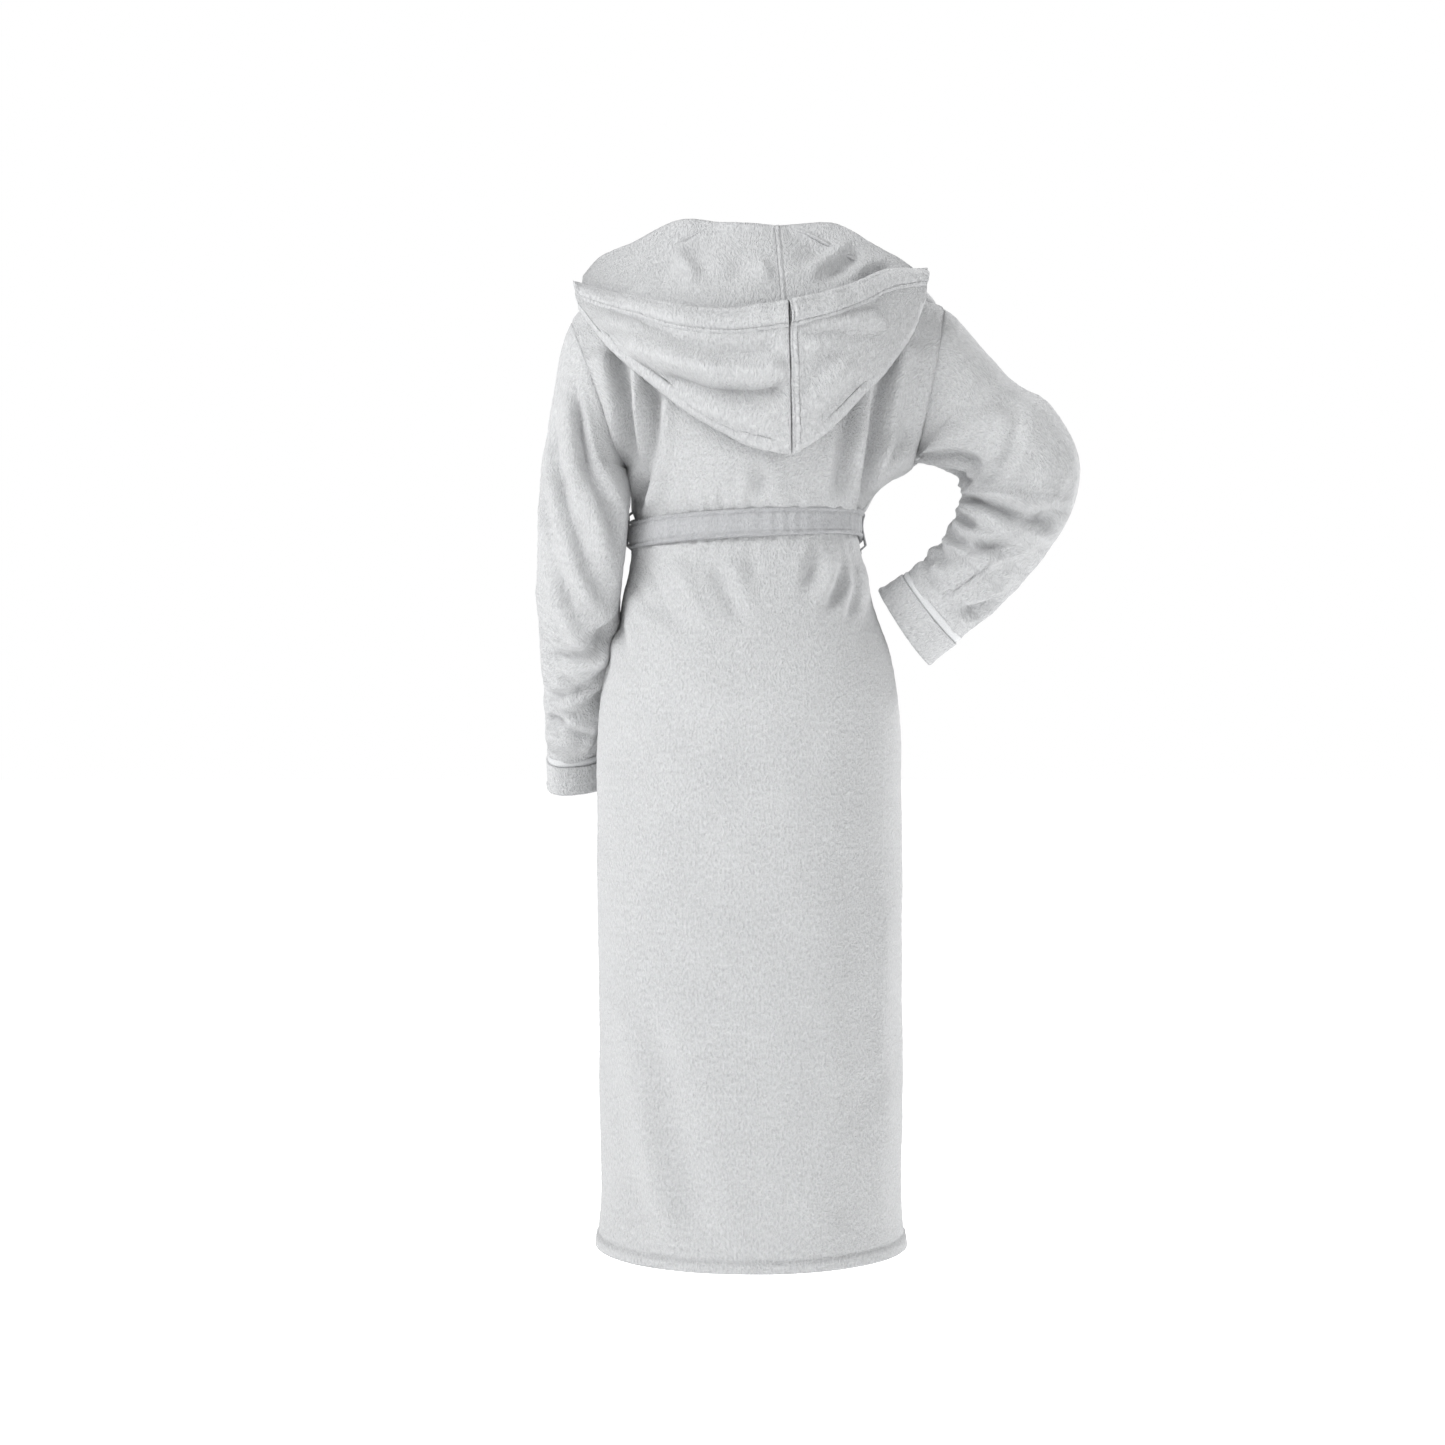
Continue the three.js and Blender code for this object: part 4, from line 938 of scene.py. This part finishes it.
# ---- Hood, thrown back ------------------------------------------------------------------
# Two halves sewn along one centre seam, hanging down the back as a bag: in at the neck,
# down inside, round the foot and up outside to a wide stitched casing round the rim.
HOOD = {
    "left": {
        "neck": [
            (204, 66, -62), (187, 66, -42), (145, 66, -22),
            (84, 67, 6), (30, 74, 0), (-28, 75, -4),
        ],
        "foot": [
            (206, 66, -96), (165, 90, -150), (115, 120, -196),
            (60, 135, -238), (10, 132, -265), (-46, 130, -279),
        ],
        "face": [
            (216, 66, -72), (164, 96, -90), (125, 122, -104),
            (88, 148, -119), (28, 163, -127), (-42, 168, -119),
        ],
    },
    "right": {
        "neck": [
            (-204, 66, -60), (-190, 66, -48), (-152, 66, -26),
            (-98, 66, 2), (-60, 71, 0), (-28, 75, -4),
        ],
        "foot": [
            (-206, 66, -88), (-190, 80, -128), (-168, 96, -163),
            (-115, 118, -222), (-80, 126, -257), (-46, 130, -279),
        ],
        "face": [
            (-212, 66, -56), (-197, 76, -58), (-160, 100, -67),
            (-124, 128, -88), (-90, 150, -104), (-42, 168, -119),
        ],
    },
}
HOOD_BAND = 0.024
HOOD_STAND = 0.008
OUTER_DEPTH, INNER_DEPTH = 1.5, 1.3
SMOOTH_RIM = (0.020, 0.040)  # folds die out this far below the rim
HOOD_COLUMNS = 150


def back_reach(x, z):
    """How far back the body reaches at a place seen from behind."""
    left, right, _, back, square = np.moveaxis(through(BODY, z), -1, 0)
    share = np.clip(np.abs(x) / np.where(x > 0, left, right), 0, 1)
    return back * (1 - share**square) ** (1 / square)


def hood_lines(side):
    """The neck edge, foot and rim of one half, from its side end to the centre seam, in
    columns that crowd towards the seam."""
    share = np.linspace(0, 1, HOOD_COLUMNS)
    share = share + 0.12 * np.sin(np.pi * share)
    return [along_line(np.array(HOOD[side][k]) * MM, share) for k in ("neck", "foot", "face")]


def foot_start(foot):
    """Where the outer wall leaves the foot: behind the inner wall by the fold's width."""
    y = np.maximum(foot[:, 1], back_reach(foot[:, 0], foot[:, 2]) + 0.0045)
    return np.column_stack([foot[:, 0], y, foot[:, 2]])


def outer_wall(foot, face, rise):
    """A place between foot and rim on the outer wall, which bellies outwards."""
    start = foot_start(foot) + (0, 0.016, 0)
    belly = 0.014 * math.sin(math.pi * rise) * (1 - rise * 0.4)
    return start + (face - start) * rise + (0, belly, 0)


def hood_half(side, rows_in, rows_out):
    """The inner wall from the neck to the foot, half a turn of a small circle round the
    foot, then the outer wall up to the rim. Also how far up the outer wall each row is."""
    neck, foot, face = hood_lines(side)
    base = foot_start(foot)
    rows, level = [], []
    for down in np.linspace(0, 1, rows_in):
        place = neck + (foot - neck) * down
        clear = back_reach(place[:, 0], place[:, 2]) + 0.0045 + HOOD_STAND * (1 - down)
        y = np.maximum(place[:, 1], clear) + 0.010 * math.sin(math.pi * down)
        rows.append(np.column_stack([place[:, 0], y, place[:, 2]]))
        level.append(down - 1)
    for angle in np.pi * np.linspace(0, 1, 8)[1:-1]:
        rows.append(base + (0, 0.008 - 0.008 * math.cos(angle), -0.006 * math.sin(angle)))
        level.append(0.0)
    for rise in np.linspace(0, 1, rows_out):
        rows.append(outer_wall(foot, face, rise))
        level.append(rise)
    return np.array(rows), np.array(level)


# swags that hang from the rim, and creases inside, as lines seen from behind (across, z)
HOOD_OUTER_FOLDS = [
    ([(0.150, -0.150), (0.086, -0.180), (0.040, -0.194), (-0.004, -0.193), (-0.040, -0.186)],
     0.011, -0.0075),
    ([(0.110, -0.190), (0.050, -0.214), (0.000, -0.218), (-0.040, -0.212)], 0.012, 0.0045),
    ([(-0.056, -0.140), (-0.093, -0.134), (-0.160, -0.126)], 0.009, -0.0040),
    ([(-0.056, -0.166), (-0.110, -0.145)], 0.009, -0.0032),
    ([(-0.070, -0.152), (-0.120, -0.134)], 0.009, 0.0018),
    ([(0.180, -0.118), (0.130, -0.140), (0.090, -0.160)], 0.008, -0.0035),
    ([(0.060, -0.225), (0.020, -0.246), (-0.035, -0.254)], 0.010, -0.0030),
    ([(-0.120, -0.175), (-0.090, -0.205), (-0.060, -0.236)], 0.010, -0.0040),
]
HOOD_INNER_FOLDS = [
    ([(-0.060, -0.072), (-0.100, -0.040), (-0.122, -0.018)], 0.009, -0.0042),
    ([(-0.088, -0.074), (-0.118, -0.046), (-0.135, -0.026)], 0.009, 0.0028),
    ([(-0.110, -0.070), (-0.150, -0.046)], 0.009, -0.0030),
    ([(-0.140, -0.062), (-0.176, -0.050)], 0.006, 0.0040),
    ([(0.064, -0.085), (0.078, -0.055), (0.096, -0.035)], 0.009, -0.0055),
    ([(0.096, -0.085), (0.116, -0.060)], 0.012, 0.0040),
    ([(0.020, -0.085), (0.010, -0.045)], 0.012, 0.0035),
    ([(-0.022, -0.085), (-0.006, -0.045)], 0.008, -0.0030),
]

for side in ("left", "right"):
    flip = 1 if side == "right" else -1
    half, level = hood_half(side, 60, 110)
    neck, foot, face = hood_lines(side)
    x, y, z = np.moveaxis(half, -1, 0)
    is_out = (level > 0.02)[:, None]
    swags = sum(bump_line(x, z, *fold, tail=0.02) for fold in HOOD_OUTER_FOLDS)
    inside = -sum(bump_line(x, z, *fold, tail=0.02) for fold in HOOD_INNER_FOLDS)
    from_seam = np.linalg.norm(face - face[-1], axis=1)
    dip = -0.0006 * bell(from_seam, 0, 0.0012)
    if side == "right":
        dip = dip + 0.0009 * bell(from_seam, 0.0032, 0.0016)
        dip = dip - 0.0009 * bell(from_seam, 0.0068, 0.0010)
    quiet = 1 - step(np.abs(x), 0.180, 0.200)
    soft = 0.0014 * drift(x, z, 0.09, 7.0)
    quiet = quiet * step(level, -0.99, -0.80)[:, None]
    # the wall lies flat under the casing
    length = np.linalg.norm(face - foot_start(foot), axis=1)
    below_rim = np.abs(1 - level)[:, None] * length[None, :]
    quiet = quiet * np.where(is_out, step(below_rim, *SMOOTH_RIM), 1)
    folds = np.where(is_out, OUTER_DEPTH * swags, INNER_DEPTH * inside)
    lift = (folds + soft) * quiet + dip[None, :]
    half = half + normals(half) * (flip * (lift + tuft(half)))[..., None]
    piece = grid_object(f"hood_{side}", half, fleece, out=flip)
    declare(piece, f"hood_{side}_half", None)
    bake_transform(piece)

    # the casing: up outside from its stitches, over the rim, and down inside
    part = HOOD_BAND / np.maximum(length, HOOD_BAND + 0.006)
    low = np.array([
        outer_wall(foot[i:i + 1], face[i:i + 1], 1 - part[i])[0] for i in range(HOOD_COLUMNS)
    ])
    up = face - low
    up /= np.linalg.norm(up, axis=1, keepdims=True)
    run = np.gradient(face, axis=0)
    away = np.cross(run, up) * -flip
    away /= np.linalg.norm(away, axis=1, keepdims=True)
    wave = 0.0034 * drift(np.linspace(0, 0.5, HOOD_COLUMNS), 0, 0.09, 9.0 + flip)
    section = []
    for s in np.linspace(0, 1, 26):
        puff = 0.0030 * min(s / 0.06, 1) + 0.0058 * math.sin(math.pi * min(s * 0.98, 1)) ** 0.7
        puff -= 0.0034 * math.exp(-(((s - 0.17) / 0.045) ** 2))
        section.append(low + up * (HOOD_BAND * s) + away * (puff + wave * s)[:, None])
    for angle in np.linspace(0, np.pi, 12)[1:]:
        rim = section[25] + up * (0.0060 * math.sin(angle))
        section.append(rim - away * (0.0055 * (1 - math.cos(angle))))
    for s in np.linspace(0, 1, 20)[1:]:
        lining = 0.0010 * math.sin(math.pi * s)
        section.append(section[36] - up * (HOOD_BAND * 0.85 * s) - away * lining)
    casing = np.array(section)
    casing = casing + normals(casing) * (flip * (dip[None, :] + tuft(casing)))[..., None]
    piece = grid_object(f"hood_{side}_casing", casing, fleece, out=flip, thick=0.002)
    declare(piece, f"hood_{side}_band", "hood")


# ---- Belt, knot, tails and loops --------------------------------------------------------
# A wide belt of the same plush, stitched flat along both edges, runs through a loop at
# each side seam and is tied once in front, with its two ends hanging over the skirt.
BELT_WIDTH, BELT_THICK = 0.035, 0.005
KNOT_X = 0.030
BELT_TILT = 0.0085  # the wearer's right side of the band sits this much higher


def wrap_lift(x, y):
    """How far the belt or a tail is lifted by the right front's extra layer."""
    return np.where(y < 0, WRAP_LIFT * step(x, -0.094, -0.064) * (1 - step(x, 0.068, 0.098)), 0)


def belt_weave(points, across):
    """The belt's section: flat, with two sunk rows of stitches and puffed edges."""
    edge = np.minimum(across, 1 - across) * BELT_WIDTH
    rows = -0.0018 * bell(edge, 0.0058, 0.0015)
    round_off = -0.0030 * bell(edge, 0, 0.0016)
    return rows + round_off + 0.6 * tuft(points)


turn = np.linspace(0, 1, 421)[:-1]
across = np.linspace(0, 1, 26)
tilt = -BELT_TILT * np.cos(2 * np.pi * turn)
middle = WAIST_Z + tilt * step(np.sin(2 * np.pi * turn), -0.3, 0.3)
z = middle[None, :] + BELT_WIDTH * (across[:, None] - 0.5)
band = body_face(turn[None, :] + 0 * z, z)
away = normals(band, closed=True)
lift = 0.0062 + wrap_lift(band[..., 0], band[..., 1])
pucker = 0.0007 * np.sin(46 * 2 * np.pi * turn + 2 * np.sin(14 * np.pi * turn))[None, :]
slack = 0.0010 * drift(turn[None, :] * 0.9, z, 0.14, 11.0)
band = band + away * (lift + pucker + slack + belt_weave(band, across[:, None]))[..., None]
piece = grid_object("belt", band, flat_fleece_painted_shade, closed=True, thick=BELT_THICK)
declare(piece, "belt_band", "robe")

# the knot: the belt wound once round itself, as a soft ring of cloth pulled tight
KNOT = np.array([0.030, 0.017, 0.023])
knot_y = -(0.111 + WRAP_LIFT + BELT_THICK + 0.004)
u = np.linspace(0, 1, 97)[:-1]
v = np.linspace(0, 1, 60)
around, lid = 2 * np.pi * u[None, :], np.pi * v[:, None]
ball = np.stack([
    np.sin(lid) * np.cos(around), np.sin(lid) * np.sin(around), np.cos(lid) + 0 * around,
], -1)
x, y, z = np.moveaxis(ball, -1, 0)
# a wrap crosses slantwise over the middle; the ends leave it above and below
wrap = 0.10 * np.exp(-(((z * 0.5 - x * 0.85) / 0.30) ** 2))
creases = -0.16 * np.exp(-(((z * 0.5 - x * 0.85 - 0.42) / 0.07) ** 2))
creases = creases - 0.16 * np.exp(-(((z * 0.5 - x * 0.85 + 0.42) / 0.07) ** 2))
creases = creases - 0.06 * np.exp(-(((z * 0.5 - x * 0.85 - 0.10) / 0.04) ** 2))
size = 0.93 + wrap + creases + 0.03 * drift(x, z, 0.9, 2.0)
knot = ball * KNOT * size[..., None] + (KNOT_X, knot_y, WAIST_Z)
knot = knot + ball * tuft(knot)[..., None]
piece = grid_object("knot", knot[::-1], flat_fleece_painted_shade, closed=True, thick=0)
declare(piece, "belt_knot", "robe")

def on_front(x, z):
    """The body's face in front, at a place across and a height."""
    return body_face(turn_at(x, z), z)


for side, low_x, length in (("right", KNOT_X - 0.037, 0.430), ("left", KNOT_X + 0.002, 0.470)):
    top = WAIST_Z - 0.025
    z = np.linspace(top, top - length, 230)[:, None] + np.zeros((1, 26))
    across = np.linspace(0, 1, 26)[None, :] + 0 * z
    # pinched together where it leaves the knot, then hanging flat with a slow sway
    pinch = 1 - 0.42 * bell(top, z, 0.030)
    centre = low_x + BELT_WIDTH / 2
    begin = 0 if side == "left" else 2
    sway = 0.0030 * np.sin((top - z) * 11 + begin) * step(top - z, 0.0, 0.10)
    x = centre + sway + (low_x - centre + BELT_WIDTH * across) * pinch
    tail = on_front(x, z)
    up = step(x, -0.064, -0.032) * WRAP_LIFT
    pleat = 0.0060 * np.cos(2 * np.pi * (across - 0.5)) * bell(top, z, 0.035)
    ripple = 0.0022 * drift(across * 0.05, z, 0.16, 3.0 if side == "left" else 6.0)
    ends = -0.0030 * np.exp(-(((z - top + length) / 0.0018) ** 2))
    stitched = -0.0012 * np.exp(-(((z - top + length - 0.0060) / 0.0011) ** 2))
    lift = 0.0105 + up + pleat + np.abs(ripple) + ends + stitched + belt_weave(tail, across)
    tail = tail - normals(tail) * lift[..., None]
    piece = grid_object(f"{side}_tail", tail, flat_fleece_painted_shade, out=-1, thick=BELT_THICK)
    declare(piece, f"belt_{side}_tail", f"{side}_tail")

# a belt loop is a narrow folded strip, sewn to the side seam above and below the belt
for side in ("left", "right"):
    v = np.linspace(0, 1, 60)[:, None]
    w = np.linspace(-0.006, 0.006, 10)[None, :]
    z = WAIST_Z - 0.0285 + 0.057 * v + 0 * w
    at = body_face((0.0 if side == "left" else 0.5) + 0 * z, z)
    bow = 0.0012 + 0.0078 * (1 - step(np.abs(v - 0.5) * 0.057, 0.0178, 0.0262))
    sign = 1 if side == "left" else -1
    loop = np.stack([at[..., 0] + sign * bow, sign * w + 0 * z, z], -1)
    edge_dip = -0.0009 * np.exp(-(((6e-3 - np.abs(w)) / 0.0009) ** 2))
    loop = loop + (sign * (edge_dip + 0.4 * tuft(loop)))[..., None] * np.array([1.0, 0, 0])
    piece = grid_object(f"{side}_loop", loop, flat_fleece_painted_shade, thick=0.0018)
    declare(piece, f"{side}_belt_loop", "robe")


# ---- Patch pockets ----------------------------------------------------------------------
# Two patches sewn on three sides of the fronts, open at the top, with a turned-in mouth
# and a satin binding across below it.
POCKET = {"left": (0.072, 0.150), "right": (-0.158, -0.070)}
POCKET_TOP, POCKET_DEEP = -0.492, 0.175

for side, (low_x, high_x) in POCKET.items():
    u = np.linspace(0, 1, 70)[None, :]
    v = np.linspace(0, 1, 130)[:, None]
    x = low_x + (high_x - low_x) * u + 0 * v
    z = POCKET_TOP - POCKET_DEEP * (1 - v) + 0 * u
    patch = on_front(x, z)
    sewn = np.minimum(np.minimum(u, 1 - u) * (high_x - low_x), v * POCKET_DEEP)
    bag = 0.0065 + 0.0125 * step(sewn, 0.0, 0.030) * (0.55 + 0.45 * v)
    stitches = -0.0014 * bell(sewn, 0.0060, 0.0011)
    mouth = 0.0016 * step(v * POCKET_DEEP, POCKET_DEEP - 0.0200, POCKET_DEEP - 0.0185)
    sag_line = [(low_x + 0.02, -0.52), ((low_x + high_x) / 2, -0.60)]
    sag = 0.0025 * bump_line(x, z, sag_line, 0.012, 1.0)
    lift = bag + stitches + mouth - sag + 0.0010 * drift(x, z, 0.07, 4.0)
    lift = lift - 0.0040 * bell(sewn, 0, 0.0022)
    patch = patch + normals(patch) * (lift + tuft(patch))[..., None]
    piece = grid_object(f"{side}_pocket", patch, fleece, thick=0.0034)
    declare(piece, f"{side}_pocket", "robe")

    rows = (z[:, 0] > POCKET_TOP - 0.031) & (z[:, 0] < POCKET_TOP - 0.019)
    strip = patch[rows][:, 1:-1]
    across = np.linspace(0, 1, len(strip))[:, None]
    proud = 0.0012 + 0.0012 * np.sin(np.pi * across) + 0 * strip[..., 0]
    strip = strip + normals(strip) * proud[..., None]
    piece = grid_object(f"{side}_pocket_piping", strip, satin, thick=0.0012)
    declare(piece, f"{side}_pocket_piping", "robe")


# ---- Inside the back neck: tape, hanging loop and a blank label -------------------------
# A satin tape covers the neck seam inside; under it hang a loop of the same tape and a
# woven label, which is left blank.
def inside_back(x, z, depth):
    """Just inside the back, at a place across and a height."""
    return np.stack([x, back_reach(x, z) - depth, z], -1)


v = np.linspace(0, 1, 14)[:, None]
x = np.linspace(-0.052, 0.052, 90)[None, :] + 0 * v
z = -0.026 + 0.018 * v + 0 * x
tape = inside_back(x, z, 0.0062)
edge = np.minimum(v, 1 - v) * 0.018
tape[..., 1] += 0.0006 * bell(edge, 0.0015, 0.0006)
piece = grid_object("neck_tape", tape[:, ::-1], satin, thick=0.0012)
declare(piece, "neck_tape", "robe")

woven = satin_material("woven_label", LABEL_WHITE, 0.6, scale=(2200, 2200, 1))
v = np.linspace(0, 1, 40)[:, None]
x = np.linspace(-0.016, 0.016, 26)[None, :] + 0 * v
z = -0.0263 - 0.048 * (1 - v) + 0 * x
label_y = float(back_reach(np.array(0.016), np.array(-0.0263))) - 0.0068
curl = 0.0008 * np.sin(2.2 * (1 - v))
label = np.stack([x, label_y - curl + 0.0003 * np.cos(x * 160) + 0 * x, z], -1)
piece = grid_object("label", label[:, ::-1], woven, thick=0.0008)
declare(piece, "care_label", "robe")

# the loop: a tape that runs down, across and up again, standing on edge
half_wide, drop, corner = 0.0255, 0.0555, 0.006
path = [(-half_wide, -0.014)]
path += [(-half_wide, -0.014 - drop + corner)]
for angle in np.linspace(0, np.pi / 2, 7)[1:]:
    path.append((-half_wide + corner - corner * math.cos(angle),
                 -0.014 - drop + corner - corner * math.sin(angle)))
for angle in np.linspace(0, np.pi / 2, 7):
    path.append((half_wide - corner + corner * math.sin(angle),
                 -0.014 - drop + corner - corner * math.cos(angle)))
path += [(half_wide, -0.014)]
path = along_line(path, np.linspace(0, 1, 130))
depth = np.linspace(0.0656, 0.0576, 12)[None, :]
loop = np.stack([path[:, 0:1] + 0 * depth, depth + 0 * path[:, 0:1], path[:, 1:2] + 0 * depth], -1)
piece = grid_object("loop_tape", loop[:, ::-1], satin, thick=0.0012)
declare(piece, "hang_loop", "hanger")
